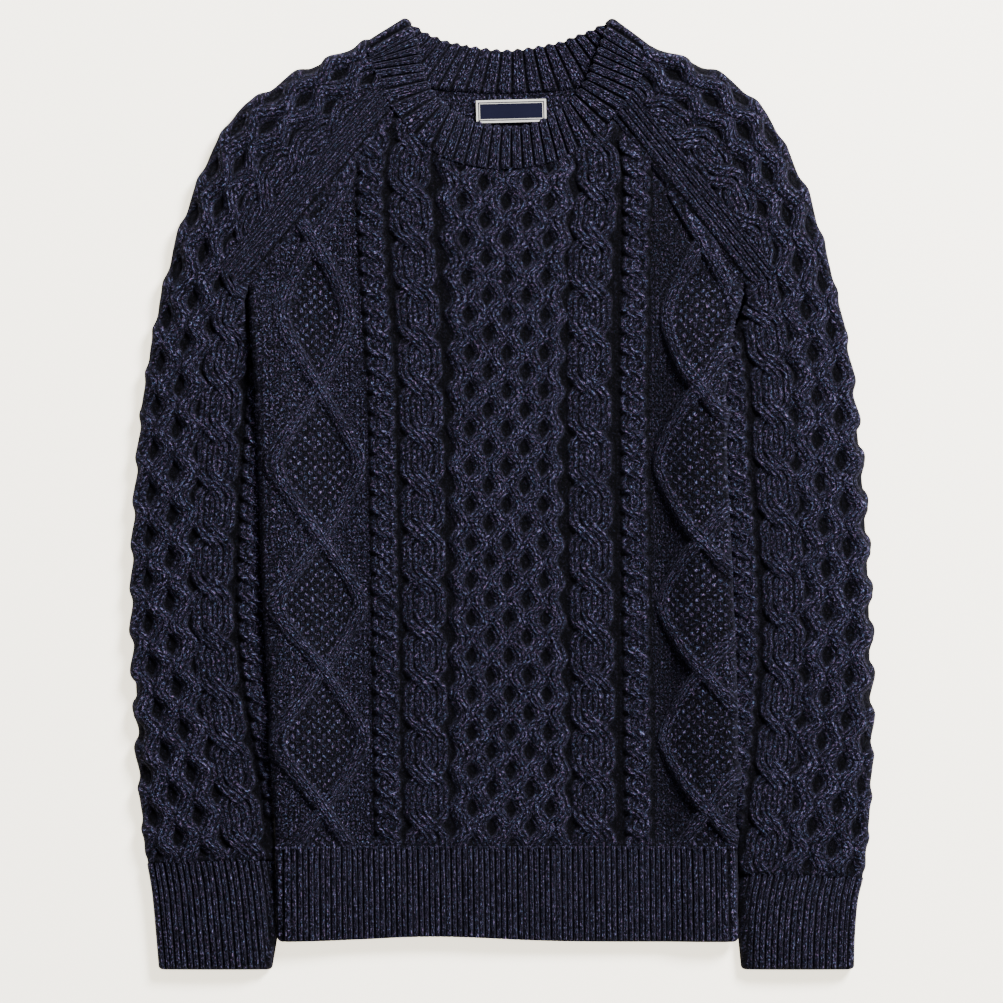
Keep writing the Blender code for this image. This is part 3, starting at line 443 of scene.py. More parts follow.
def crossing_wales(centre, start, repeat, cross, pitch, strands, high, over, lag, flip=1):
    """Two groups of columns that cross; the front one goes from upper left to lower right.

    flip turns the crossings round, over is how far the front group rides above the other,
    and lag is how much later each next column of a group crosses.
    """
    wales = []
    half_group = strands * pitch / 2
    for front in (True, False):
        way = 1 if front else -1
        for k in range(strands):
            def wale(t, way=way, k=k):
                number = k - (strands - 1) / 2
                place = ((t - start) / repeat + 0.5) % 1.0 - 0.5
                passed = ease((place * repeat - way * number * lag) / cross + 0.5)
                closeness = 4 * passed * (1 - passed)
                side = (1 - 2 * passed) * way
                bow = CABLE_BOW * np.sin(np.clip(np.abs(place) * 2, 0, 1) * np.pi)
                within = number * pitch * (1 - 0.10 * closeness) * (1 + bow)
                axis = centre(t) if callable(centre) else centre
                middle = axis + flip * (side * half_group * (1 + bow) + within)
                crown = (1 - (number / (strands / 2)) ** 2) * CABLE_CROWN
                outer = np.abs(middle - axis) / (2 * half_group)
                lift = high + crown + way * over * closeness - CABLE_ROUND * outer ** 2
                half = pitch * 0.52 * (1 + 0.42 * closeness)
                return middle, lift, half, -0.25 * np.sign(middle - axis) * outer ** 2
            wales.append(wale)
    return wales


def zigzag(turn):
    """0 at whole turns, 1 and -1 by turns half way between, with its tips rounded."""
    return np.arcsin(DIAMOND_TIPS * np.sin(np.pi * turn)) / math.asin(DIAMOND_TIPS)


def diamond_edge(t):
    """Turns since the lowest crossing, and how far the cords lie from the middle there."""
    turn = np.interp(t, DIAMOND_CROSSINGS, np.arange(len(DIAMOND_CROSSINGS)))
    return turn, np.interp(t, DIAMOND_NARROWS, (DIAMOND_HALF, DIAMOND_TOP)) * zigzag(turn)


def diamond_wales(centre):
    """Two pairs of columns that zigzag and cross; the one from upper left is in front."""
    wales = []
    for direction in (1, -1):
        for side in (-1, 1):
            def wale(t, direction=direction, side=side):
                turn, offset = diamond_edge(t)
                near = ease(1.6 - np.abs(offset) / 0.012)
                leans = direction * np.where(np.round(turn) % 2 == 0, 1, -1)
                lift = DIAMOND_LIFT + DIAMOND_RIDE * near * (leans < 0)
                middle = centre + direction * offset + side * DIAMOND_COLUMN
                return middle, lift, DIAMOND_COLUMN_HALF + 0 * t, -0.2 * side + 0 * t
            wales.append(wale)
    return wales


def diamond_inside(s, t, centre):
    return np.abs(s - centre) < np.abs(diamond_edge(t)[1]) - 0.002


def rib_wales(pitch, first, last, lift=RIB_LIFT, full=0.205, apart=0.238):
    """Pairs of knit columns with a narrow gap in each pair and a purl groove between the pairs."""
    wales = []
    count = int(round((last - first) / pitch))
    for k in range(count + 1):
        for side in (-1, 1):
            wales.append(straight(first + k * pitch + side * pitch * apart, lift, pitch * full))
    return wales


def plait_wales(centre, start, repeat=PLAIT_REPEAT, wale=PLAIT_WALE, flip=1):
    return crossing_wales(centre, start, repeat, PLAIT_CROSS, wale, 2,
                          PLAIT_LIFT, PLAIT_OVER, PLAIT_LAG, flip)


def rope_wales(centre, start, flip=1):
    return crossing_wales(centre, start, ROPE_REPEAT, ROPE_CROSS, ROPE_WALE, 1,
                          ROPE_LIFT, ROPE_OVER, 0.0, flip)


def cable_line(index):
    return lambda t: np.interp(t, column(CABLE_LINES, 0), column(CABLE_LINES, index))


LEFT_PLAIT, RIGHT_PLAIT, LEFT_ROPE, RIGHT_ROPE = [cable_line(index) for index in (1, 2, 3, 4)]
FRONT_WALES = (
    honeycomb_wales(HONEY_LINES, HONEY_START, HONEY_REPEAT, 0.7)
    + plait_wales(LEFT_PLAIT, PLAIT_START)
    + plait_wales(RIGHT_PLAIT, PLAIT_START)
    + rope_wales(LEFT_ROPE, ROPE_START)
    + rope_wales(RIGHT_ROPE, ROPE_START)
    + diamond_wales(DIAMOND_LEFT)
    + diamond_wales(DIAMOND_RIGHT)
)


def sleeve_wales(plait_start, honey_start, flip):
    """A sleeve's cables, by distance out from the plait; on both sleeves they cross the same way."""
    band = [straight(RAGLAN_PLACE + (k + 0.5) * RAGLAN_WALE, RIB_LIFT, RAGLAN_WALE * 0.48)
            for k in range(int(round(RAGLAN_BAND / RAGLAN_WALE)))]
    return (honeycomb_wales(SLEEVE_HONEY_LINES, honey_start, SLEEVE_HONEY_REPEAT, 1.0)
            + plait_wales(0.0, plait_start, SLEEVE_PLAIT_REPEAT, SLEEVE_PLAIT_WALE, flip)
            + rope_wales(SLEEVE_ROPE, 0.0, flip)
            + band)


# Kinds of stitch, as the wool reads them, and how much painted light each ground gets: where it is low, the
# colour is darkened as painted shade
PURL = 0.0
SHADED_VALLEY = 0.25            # purl too, in the right side's valley, darkened there with painted shade
KNIT = 1.0
MOSS = 2.0
GROOVE = 3.0
# painted light shares, 0 to 1, for the open grounds, the shaded ground and the plain inner faces
OPEN_GROUND = 0.70
SHADED_GROUND = 0.22
PLAIN_SIDE = 0.4
LIT_HIGH = 0.0046        # a column as high as this gets full painted light, with no painted shade


# Meshes

def add_object(name, data):
    thing = bpy.data.objects.new(name, data)
    bpy.context.collection.objects.link(thing)
    return thing


def add_piece(name, mesh, material, node):
    """A mesh as the piece that shows in place of one node."""
    piece = add_object(name, mesh)
    mesh.materials.append(material)
    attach(piece, "root")
    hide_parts(node)
    return piece


def quads(index):
    """The squares between a grid's points, given the points' numbers."""
    return np.stack([index[:-1, :-1], index[:-1, 1:], index[1:, 1:], index[1:, :-1]], -1).reshape(-1, 4)


def sew(first, second):
    """Triangles between two lines of (index, position) that start and end together."""
    faces = []
    a = b = 0
    while a < len(first) - 1 or b < len(second) - 1:
        if b == len(second) - 1 or (a < len(first) - 1 and first[a + 1][1] <= second[b + 1][1] + 1e-9):
            faces.append((first[a][0], first[a + 1][0], second[b][0]))
            a += 1
        else:
            faces.append((first[a][0], second[b + 1][0], second[b][0]))
            b += 1
    return faces


def spread(count, steps):
    return sorted(set(int(round(v)) for v in np.linspace(0, count - 1, steps + 1)))


def knit_mesh(name, points, fine_faces, others, stitches, material, node):
    """A closed mesh whose fine faces carry stitches, and whose other faces are plain.

    stitches holds, for each point of the fine faces, its place on the panel (s across,
    t up), the kind of ground there and its height, and the panel's stitch columns.
    """
    s, t, ground, high, wales = stitches
    fine = np.array(fine_faces)
    triangles = np.array([f for f in others if len(f) == 3], int).reshape(-1, 3)
    fours = np.array([f for f in others if len(f) == 4], int).reshape(-1, 4)
    loops = np.concatenate([fine.ravel(), fours.ravel(), triangles.ravel()])
    count4 = len(fine) + len(fours)
    starts = np.concatenate([np.arange(count4) * 4, count4 * 4 + np.arange(len(triangles)) * 3])
    corners = points[fine]
    size = np.einsum("ij,ij->i", corners[:, 0], np.cross(corners[:, 1], corners[:, 2])
                     + np.cross(corners[:, 2], corners[:, 3])).sum()
    mesh = bpy.data.meshes.new(name)
    mesh.vertices.add(len(points))
    mesh.vertices.foreach_set("co", points.astype(np.float32).ravel())
    mesh.loops.add(len(loops))
    mesh.loops.foreach_set("vertex_index", loops.astype(np.int32))
    mesh.polygons.add(len(starts))
    mesh.polygons.foreach_set("loop_start", starts.astype(np.int32))
    mesh.update(calc_edges=True)

    corner_s = s[fine]
    corner_t = t[fine]
    torn = np.ptp(corner_s, axis=1) > 0.2
    corner_s[torn] = corner_s[torn][:, :1]
    corner_t[torn] = corner_t[torn][:, :1]
    middle_s = corner_s.mean(axis=1)
    middle_t = corner_t.mean(axis=1)
    number = stitch_height(middle_s, middle_t, wales, np.zeros(len(fine)))[1]
    numbers = np.repeat(number[:, None], 4, axis=1)
    across = np.where(numbers >= 0, place_in_wale(corner_s, corner_t, wales, numbers), corner_s / STITCH_WIDE)
    # where two strands change names, a face reads its place along its own middle line
    strange = (np.abs(across).max(axis=1) > 1.25) & (number >= 0)
    level = np.repeat(middle_t[strange, None], 4, axis=1)
    across[strange] = place_in_wale(corner_s[strange], level, wales, numbers[strange])
    uv = np.zeros((len(loops), 2), np.float32)
    covered = len(fine) * 4
    uv[:covered, 0] = across.ravel()
    uv[:covered, 1] = (corner_t / STITCH_HIGH).ravel()
    uv[covered:] = points[loops[covered:], :2] / (STITCH_WIDE, STITCH_HIGH)
    mesh.uv_layers.new(name="stitch").data.foreach_set("uv", uv.ravel())
    kind = np.zeros(len(starts), np.float32)
    kind[:len(fine)] = np.where(number >= 0, KNIT, ground[fine[:, 0]])
    mesh.attributes.new("kind", "FLOAT", "FACE").data.foreach_set("value", kind)
    # painted light for each point, which the wool uses to darken its colour; the plain inner faces get a
    # middling share
    painted_light = np.full(len(points), PLAIN_SIDE, np.float32)
    # painted shade: purl and moss grounds keep most of their colour, as if open to the light, the grooves
    # between cables are darkened fully and the valley ground partly, and higher columns stay lighter
    least = np.select([ground == GROOVE, ground == SHADED_VALLEY], [0.0, SHADED_GROUND], OPEN_GROUND)
    painted_light[:len(high)] = np.clip(np.maximum(high / LIT_HIGH, least), 0, 1)
    mesh.attributes.new("painted_light", "FLOAT", "POINT").data.foreach_set("value", painted_light)
    mesh.polygons.foreach_set("use_smooth", np.ones(len(starts), bool))
    if size < 0:
        mesh.flip_normals()
    return add_piece(name, mesh, material, node)


def knit(name, outer, inner, rows, columns, stitches, material, node):
    """A closed wall between a fine outer grid and a coarser inner one."""
    inner = inner[np.ix_(rows, columns)]
    m, n = outer.shape[:2]
    p, q = inner.shape[:2]
    points = np.vstack([outer.reshape(-1, 3), inner.reshape(-1, 3)])
    out = np.arange(m * n).reshape(m, n)
    ins = m * n + np.arange(p * q).reshape(p, q)

    def edge(fine_line, plain_line, places):
        return sew(list(zip(fine_line, range(len(fine_line)))), list(zip(plain_line, places)))

    others = [tuple(f) for f in quads(ins.T)]
    others += [f[::-1] for f in edge(out[0], ins[0], columns)]
    others += edge(out[-1], ins[-1], columns)
    others += edge(out[:, 0], ins[:, 0], rows)
    others += [f[::-1] for f in edge(out[:, -1], ins[:, -1], rows)]
    flat = [values.ravel() for values in stitches[:4]]
    return knit_mesh(name, points, quads(out), others, (*flat, stitches[4]), material, node)


# Body

SIDE_SHARES = np.concatenate([np.linspace(0, 0.46, 9)[:-1], np.linspace(0.46, 1, 24)])
MIDDLE_STEPS = 216
HEM_STEPS = 400
# the cables flatten where a rib is knitted on
JOINT_HIGH = 0.0024
JOINT_FADE = 0.0080


def side_line(rise, seam):
    """(inset, z) of a side, from the seam under the fold round to the top surface."""
    under = max(rise - 0.0048, REST + 0.0006)
    drop = under - REST
    laid = np.array([
        (SEAM_FULL, REST), (SEAM_FULL * 0.80, REST), (SEAM_FULL * 0.60, REST + 0.25 * drop),
        (SEAM_FULL * 0.42, REST + 0.70 * drop), (TURN + 0.0055, under), (TURN + 0.0004, (under + rise) / 2),
        (TURN + 0.0050, rise - 0.0001), (TURN + 0.0080, rise)])
    turned = np.array([
        (TURN, rise - 0.0034), (TURN, rise - 0.0028), (TURN + 0.0001, rise - 0.0022),
        (TURN + 0.0004, rise - 0.0016), (TURN + 0.0010, rise - 0.0010), (TURN + 0.0020, rise - 0.0004),
        (TURN + 0.0035, rise - 0.0001), (TURN + 0.0080, rise)])
    f = (seam - TURN) / (SEAM_FULL - TURN)
    return resample(rounded(turned + f * (laid - turned), 12), SIDE_SHARES)


def body_row(left, right, middle, rises, seams, centre_rise, steps=MIDDLE_STEPS):
    """Inner surface of one row, from the left side seam over the top to the right one."""
    width = right[0] - left[0]
    near = side_line(rises[0], seams[0])
    far = side_line(rises[1], seams[1])[::-1]
    f = np.linspace(0, 1, steps + 1)
    start = near[-1, 0]
    stop = width - far[0, 0]
    run = start + f * (stop - start)
    reach = min(0.055, (stop - start) / 2)
    z = centre_rise + (rises[0] - centre_rise) * (1 - ease((run - start) / reach))
    # the right side keeps its height further in, then drops into a valley
    shelf = min(0.010, reach / 4)
    z = z + (rises[1] - centre_rise) * (1 - ease((stop - run - shelf) / (reach * 0.66)))
    run = np.concatenate([near[:-1, 0], run, width - far[1:, 0]])
    z = np.concatenate([near[:-1, 1], z, far[1:, 1]])
    share = run / width
    x = left[0] + share * width
    y = left[1] + share * (right[1] - left[1]) + middle(share)
    return np.stack([x, y, z], 1)


def hem_wave(y):
    """How far the hem's stitches lie up or down at each share of the width."""
    return lambda q: HEM_WAVE * np.exp(-((q - 0.34) / 0.20) ** 2) * ease((HEM_TOP - y) / 0.07)


def body_rows(heights, steps=MIDDLE_STEPS):
    """Rows from the hem to the underarm."""
    ys = column(BODY, 0)
    rows = []
    for y in heights:
        at = [float(smooth(ys, column(BODY, k), y)) for k in range(1, 6)]
        rows.append(body_row((at[0], y), (at[1], y), hem_wave(y), (at[2], at[3]), (at[4], at[4]),
                             MIDDLE_RISE, steps))
    return rows


def neck_dip(neck, f):
    """How far a row bends towards the neck's line, from none at f = 0 to all of it at f = 1."""
    def dip(q):
        ends = np.interp(q, (0, 1), (neck[0, 1], neck[-1, 1]))
        share = (neck[:, 0] - neck[0, 0]) / (neck[-1, 0] - neck[0, 0])
        return (np.interp(q, share, neck[:, 1]) - ends) * f ** 1.6
    return dip


def yoke_rows(fractions):
    """Rows from the underarm to the neck, ending at the raglan seams."""
    neck = neck_line(*FRONT_RAGLAN, NECK_FRONT)
    a = np.array(RAGLAN_LEFT[0])
    b = np.array(RAGLAN_RIGHT[0])
    rows = []
    for f in fractions:
        left = (a[2] + SLIT + f * (a[0] + 0.0012 - a[2]), a[3] + f * (a[1] - a[3]) - SLIT)
        right = (b[2] - SLIT + f * (b[0] - 0.0012 - b[2]), b[3] + f * (b[1] - b[3]) - SLIT)
        rise = UNDERARM_RISE + (YOKE_RISE - UNDERARM_RISE) * ease(f * 2)
        sides = ((rise, rise), (YOKE_TURN, YOKE_TURN))
        rows.append(body_row(left, right, neck_dip(neck, f), *sides, MIDDLE_RISE))
    return rows


def from_centre(grid):
    """Distance over the surface from the front's centre line, for every point of a grid."""
    arc = arc_across(grid)
    centre = CENTRE_X - CENTRE_SLANT * (grid[:, :, 1] - CENTRE_Y)
    s = np.zeros(arc.shape)
    for i in range(len(grid)):
        line = grid[i, :, 0] - centre[i]
        zero = int(np.argmin(np.abs(line[40:-40]))) + 40
        s[i] = arc[i] - arc[i, zero] + line[zero]
    return s


def body_wall(inner, high, edge_fade):
    up = outward(inner)[:, :, 2]
    shown = ease(up * 1.6 + 0.55) * edge_fade
    down = 1 - ease(up * 1.25)
    return WALL + (REST - WALL) * down + high * shown, high * shown


def front_panel(material):
    below = np.linspace(HEM_TOP - 0.0008, UNDERARM, 262)
    inner = np.array(body_rows(below) + yoke_rows(np.linspace(0, 1, 84)[1:]))
    s = from_centre(inner)
    t = inner[:, :, 1]
    ground = np.where((s > LEFT_ROPE(t) - ROPE_SIDE) & (s < RIGHT_ROPE(t) + ROPE_SIDE), GROOVE, PURL)
    # painted shade: the purl between the right rope and the right diamond is marked to be darkened
    ground[(ground == PURL) & (s > 0) & (s < DIAMOND_RIGHT - 0.004)] = SHADED_VALLEY
    base = np.zeros(s.shape)
    for centre in (DIAMOND_LEFT, DIAMOND_RIGHT):
        moss = diamond_inside(s, t, centre)
        ground[moss] = MOSS
        base[moss] = 0.0003
    high = stitch_height(s, t, FRONT_WALES, base)[0]
    at_neck = ease((np.arange(len(inner)) - len(inner) + 10) / 7)[:, None]
    high = high + (0.0028 - high) * at_neck
    high = high + (JOINT_HIGH - high) * (1 - ease((t - HEM_TOP) / JOINT_FADE))
    arc = arc_across(inner)
    to_end = np.minimum(arc, arc[:, -1:] - arc)
    wall, high = body_wall(inner, high, ease(to_end / 0.003))
    outer = raised(inner, wall)
    return knit("front_knit", outer, inner, spread(len(inner), 60), spread(inner.shape[1], 50),
                (s, t, ground, high, FRONT_WALES), material, "front_panel")


def rounded_end(distance, radius=0.0035):
    """Share of a wall's thickness near a free edge that is rounded off."""
    f = np.clip(distance / radius, 0, 1)
    return 0.25 + 0.75 * np.sqrt(1 - (1 - f) ** 2)


def front_hem(material):
    heights = np.concatenate([HEM_END + np.array([0, 0.0004, 0.001, 0.0018, 0.0027]),
                              np.linspace(HEM_END + 0.0038, HEM_TOP - SLIT, 44)])
    inner = np.array(body_rows(heights, HEM_STEPS))
    s = from_centre(inner)
    t = inner[:, :, 1]
    wales = rib_wales(HEM_RIB, -0.255, 0.255)
    base = np.zeros(s.shape)
    high = stitch_height(s, t, wales, base)[0]
    wall, high = body_wall(inner, high, 1.0)
    outer = raised(inner, wall * rounded_end(t - HEM_END))
    return knit("front_hem_rib", outer, inner, spread(len(inner), 8), spread(inner.shape[1], 50),
                (s, t, np.full(s.shape, GROOVE), high, wales), material, "hem_front")


def flat_piece(name, rows, columns, material, node):
    """A flat wall on the floor, with its knit side down and its plain side up."""
    f = np.linspace(0, 1, columns)
    inner = []
    for left, right, dip in rows:
        left = np.array(left)
        line = left + f[:, None] * (np.array(right) - left)
        line[:, 1] += dip(f)
        inner.append(np.column_stack([line, np.full(columns, REST - 0.0003)]))
    top = np.array(inner)
    low = top.copy()
    low[:, :, 2] = FLOOR_LIFT
    s = top[:, :, 0]
    t = top[:, :, 1]
    flat = np.full(s.shape, PURL)
    return knit(name, top, low, spread(len(top), 10), spread(columns, 10),
                (s, t, flat, np.full(s.shape, 0.0020), []), material, node)


def back_ends(y):
    ys = column(BODY, 0)
    left, right, seam = [float(smooth(ys, column(BODY, k), y)) for k in (1, 2, 5)]
    return (left + seam + SIDE_SLIT, y), (right - seam - SIDE_SLIT, y)


def none(q):
    return 0 * q


def back_panel(material):
    rows = []
    for y in np.linspace(HEM_TOP - 0.0005, 0.142, 90):
        left, right = back_ends(y)
        tuck = 0.006 + 0.018 * ease((y - 0.060) / 0.050)
        rows.append(((left[0] - tuck, y), (right[0] + tuck, y), none))
    neck = neck_line(BACK_RAGLAN[1], BACK_RAGLAN[0], NECK_BACK, -BACK_TUCK)[::-1]
    a = np.array(RAGLAN_LEFT[1])
    b = np.array(RAGLAN_RIGHT[1])
    for f in np.linspace(0, 1, 60):
        gap = SIDE_SLIT - 0.0120 * (1 - f) ** 3
        left = (a[2] + gap + f * (a[0] - a[2]), a[3] - SLIT + f * (a[1] - a[3]))
        right = (b[2] - gap + f * (b[0] - b[2]), b[3] - SLIT + f * (b[1] - b[3]))
        rows.append((left, right, neck_dip(neck, f)))
    return flat_piece("back_knit", rows, 120, material, "back_panel")


def back_hem(material):
    rows = []
    for y in np.linspace(HEM_END, HEM_TOP, 12):
        left, right = back_ends(y)
        rows.append(((left[0] - 0.002, y + 0.0004), (right[0] + 0.002, y + 0.0004), hem_wave(y)))
    return flat_piece("back_hem_rib", rows, 40, material, "hem_back")


# Sleeves and cuffs

SLEEVE_COUNTS = (7, 84, 18, 24)
CUFF_COUNTS = (8, 96, 24, 30)
SLEEVE_FOLD = 0.0075     # from the outer edge to the middle of the fold
CUFF_FOLD = 0.0064
FOLD_DEEP = 0.0040
CROWN = 0.0012           # how much a layer bulges in its middle
FOLD_SPREAD = 2.2        # columns crowd towards the outer fold this much


def sleeve_rows(table, raglan, steps, fold_in, counts, closed_only=False, necks=None):
    """Inner surface of a sleeve or cuff, one row for each of the steps along it.

    With it come each point's distance from the outer fold, how far it faces up, its distance
    from the seam edge, and each row's place in the table.  counts are the points across a
    row: in the seam, on top, round the fold and below.
    """
    index = np.arange(len(table), dtype=float)
    folds = np.array(table)[:, :2]
    path = along(folds)
    first_closed = -1 if closed_only else RAGLAN_ROWS - 1
    wanted = np.interp(steps * path[-1], path, index)
    seam_n, top_n, bend_n, low_n = counts
    grid, distance, facing, from_edge = [], [], [], []
    for p in wanted:
        fold = np.array([smooth(index, folds[:, 0], p), smooth(index, folds[:, 1], p)])
        if p <= first_closed:
            f = p / first_closed
            top = np.array(raglan[0][:2]) * (1 - f) + np.array(raglan[0][2:]) * f
            low = np.array(raglan[1][:2]) * (1 - f) + np.array(raglan[1][2:]) * f
        else:
            known = index[max(first_closed, 0):]
            tail = table[max(first_closed, 0):]
            top = np.array([np.interp(p, known, column(tail, 2)), np.interp(p, known, column(tail, 3))])
            low = top
            if first_closed >= 0:
                shift = np.array(raglan[1][2:]) - np.array(tail[0][2:4])
                low = top + shift * max(0, 1 - (p - first_closed))
        rise = float(smooth(index, column(table, 5), p))
        closed = 1.0 if closed_only else float(ease(p - first_closed))
        middle = (REST + rise) / 2
        half = (rise - REST) / 2
        near = TURN + SLIT
        turned = np.array([(near, rise - 0.0030), (near + 0.0002, rise - 0.0018),
                           (near + 0.0012, rise - 0.0006), (near + 0.0030, rise)])
        shut = np.array([(TURN, middle + 0.0003), (TURN + 0.3 * half, middle + 0.7 * half),
                         (TURN + half, rise - 0.0001), (TURN + 2 * half, rise)])
        upper = turned + closed * (shut - turned)
        flat = np.array([(0.0110, REST), (0.0070, REST), (0.0030, REST), (SLIT, REST)])
        curl = np.array([(TURN + 2 * half, REST), (TURN + half, REST),
                         (TURN + 0.3 * half, middle - 0.7 * half), (TURN, middle - 0.0003)])
        lower = flat + closed * (curl - flat)
        to_top = np.linalg.norm(top - fold)
        to_low = np.linalg.norm(low - fold)
        turn = np.linspace(90, -90, 25) * np.pi / 180
        bend = np.array([(fold_in + FOLD_DEEP * (1 - np.cos(v)), middle + half * np.sin(v)) for v in turn])
        bend_ends = fold_in + FOLD_DEEP
        share = np.linspace(0, 1, top_n + 1)
        start = to_top - upper[-1, 0]
        flat_top = np.stack([start + share * (bend_ends - start), rise + CROWN * np.sin(np.pi * share)], 1)
        share = np.linspace(0, 1, low_n + 1)
        end = to_low - lower[0, 0]
        flat_low = np.stack([bend_ends + share * (end - bend_ends), np.full(low_n + 1, REST)], 1)
        first = np.stack([to_top - upper[:, 0], upper[:, 1]], 1)
        last = np.stack([to_low - lower[:, 0], lower[:, 1]], 1)
        parts = [resample(rounded(first, 8), np.linspace(0, 1, seam_n + 1)), flat_top,
                 resample(bend, np.linspace(0, 1, bend_n + 1)), flat_low,
                 resample(rounded(last, 8), np.linspace(0, 1, seam_n + 1))]
        line = np.vstack([parts[0]] + [q[1:] for q in parts[1:]])
        over_fold = np.linspace(1, 0, bend_n + 1)
        up = np.concatenate([np.ones(seam_n + top_n), over_fold, np.zeros(low_n + seam_n)])
        way_top = (top - fold) / to_top
        way_low = (low - fold) / to_low
        high_share = up[:, None]
        out = line[:, :1]
        plan = fold + out * (high_share * way_top + (1 - high_share) * way_low)
        if necks is not None and p < 2:
            upper_neck = resample(necks[0], np.clip(line[:, 0] / to_top, 0, 1)) - fold - out * way_top
            lower_neck = resample(necks[1], np.clip(line[:, 0] / to_low, 0, 1)) - fold - out * way_low
            plan = plan + (high_share * upper_neck + (1 - high_share) * lower_neck) * (1 - p / 2) ** 2
        grid.append(np.column_stack([plan, line[:, 1]]))
        run = along(line)
        apex = seam_n + top_n
        around = np.arange(len(run)) > apex
        distance.append(line[apex, 0] - (run - run[apex]) * np.where(around, FOLD_SPREAD, 1.0))
        facing.append(up)
        from_edge.append(run)
    return np.array(grid), np.array(distance), np.array(facing), np.array(from_edge), wanted


def sleeve(name, table, raglan, necks, starts, material, node):
    steps = np.linspace(0, 1, 470)
    grid, distance, facing, edge, at = sleeve_rows(
        table, raglan, steps, SLEEVE_FOLD, SLEEVE_COUNTS, necks=necks)
    index = np.arange(len(table), dtype=float)
    plait_at = smooth(index, column(table, 4), at)[:, None]
    s = plait_at - distance
    middle = SLEEVE_COUNTS[0] + SLEEVE_COUNTS[1] // 2
    length = along(grid[:, middle])
    t = (length[-1] - length)[:, None] + 0 * s
    grid[-1] += unit(grid[-1] - grid[-2]) * 0.0012
    a = np.array(raglan[0])
    seam_way = unit(a[:2] - a[2:])
    offset = grid[:, :, :2] - a[2:]
    from_seam = np.abs(offset[:, :, 0] * seam_way[1] - offset[:, :, 1] * seam_way[0])
    up_seam = offset @ seam_way
    above = (at < RAGLAN_ROWS - 0.5)[:, None] & (up_seam > -0.004)
    banded = above & (from_seam < RAGLAN_BAND) & (facing > 0.9)
    s = np.where(banded, RAGLAN_PLACE + from_seam, s)
    t = np.where(banded, up_seam, t)
    wales = sleeve_wales(*starts)
    high = stitch_height(s, t, wales, np.zeros(s.shape))[0]
    high = high + (JOINT_HIGH - high) * (1 - ease(t / JOINT_FADE)) * (1 - banded)
    shown = ease(facing * 1.5) * ease(edge / 0.003)
    wall = WALL + (REST - WALL) * (1 - facing) + high * shown
    ground = np.where(s > SLEEVE_ROPE - SLEEVE_ROPE_SIDE, GROOVE, PURL)
    return knit(name, raised(grid, wall), grid, spread(len(grid), 70), spread(grid.shape[1], 30),
                (s, t, ground, high * shown, wales), material, node)


def cuff(name, table, material, node):
    steps = np.concatenate([np.linspace(0, 0.955, 56), [0.966, 0.976, 0.985, 0.992, 1.0]])
    grid, s, facing, edge, _ = sleeve_rows(table, None, steps, CUFF_FOLD, CUFF_COUNTS, closed_only=True)
    length = along(grid[:, 50])
    t = (length[-1] - length)[:, None] + 0 * s
    wales = rib_wales(CUFF_RIB, -0.1100, 0.1200)
    high = stitch_height(s, t, wales, np.zeros(s.shape))[0]
    shown = ease(facing * 1.5) * ease(edge / 0.008 - 0.2)
    wall = WALL + (REST - WALL) * (1 - facing) + high * shown
    outer = raised(grid, wall * rounded_end(t))
    return knit(name, outer, grid, spread(len(grid), 8), spread(grid.shape[1], 40),
                (s, t, np.full(s.shape, GROOVE), high * shown, wales), material, node)


# Neckband

BAND_RISE = 0.0095
BAND_INSET = 0.0120
BAND_CUT = 0.72
BAND_PER_RIB = 10        # points across a rib
BAND_FOLD_RIBS = 2.0     # ribs in the fold at each shoulder
BAND_WALL = 0.0048
BAND_RIB_UNIT = 0.0085
BAND_LEAN = (0.085, 0.060)
BAND_SCALLOP = 0.0009


def band_path(table, inset):
    rows = np.array(table)
    seam = rounded(rows[:, 0:2])
    free = rounded(rows[:, 2:4])
    f = np.linspace(0, 1, 400)
    middle = (resample(seam, f) + resample(free, f)) / 2
    run = along(middle)
    keep = np.interp(np.linspace(inset, run[-1] - inset, 400), run, f)
    return resample(seam, keep), resample(free, keep)


def band_turn(seam_a, free_a, seam_b, free_b, peak, z_from, z_to, steps):
    """The fold at a shoulder peak, between the end of one half and the start of the other."""
    pieces = []
    for angle in np.linspace(0, np.pi, steps + 2)[1:-1]:
        share = 0.5 - 0.5 * np.cos(angle)
        out = np.sin(angle)
        seam = seam_a + share * (seam_b - seam_a)
        free = free_a + share * (free_b - free_a)
        seam = seam + (peak[0:2] - seam) * out * 0.48
        free = free + (peak[2:4] - free) * out * 0.66
        z = (z_from + z_to) / 2 + (z_from - z_to) / 2 * np.cos(angle)
        pieces.append((seam, free, z, 0.5 + 0.5 * np.cos(angle) * (1 if z_from > z_to else -1)))
    return pieces


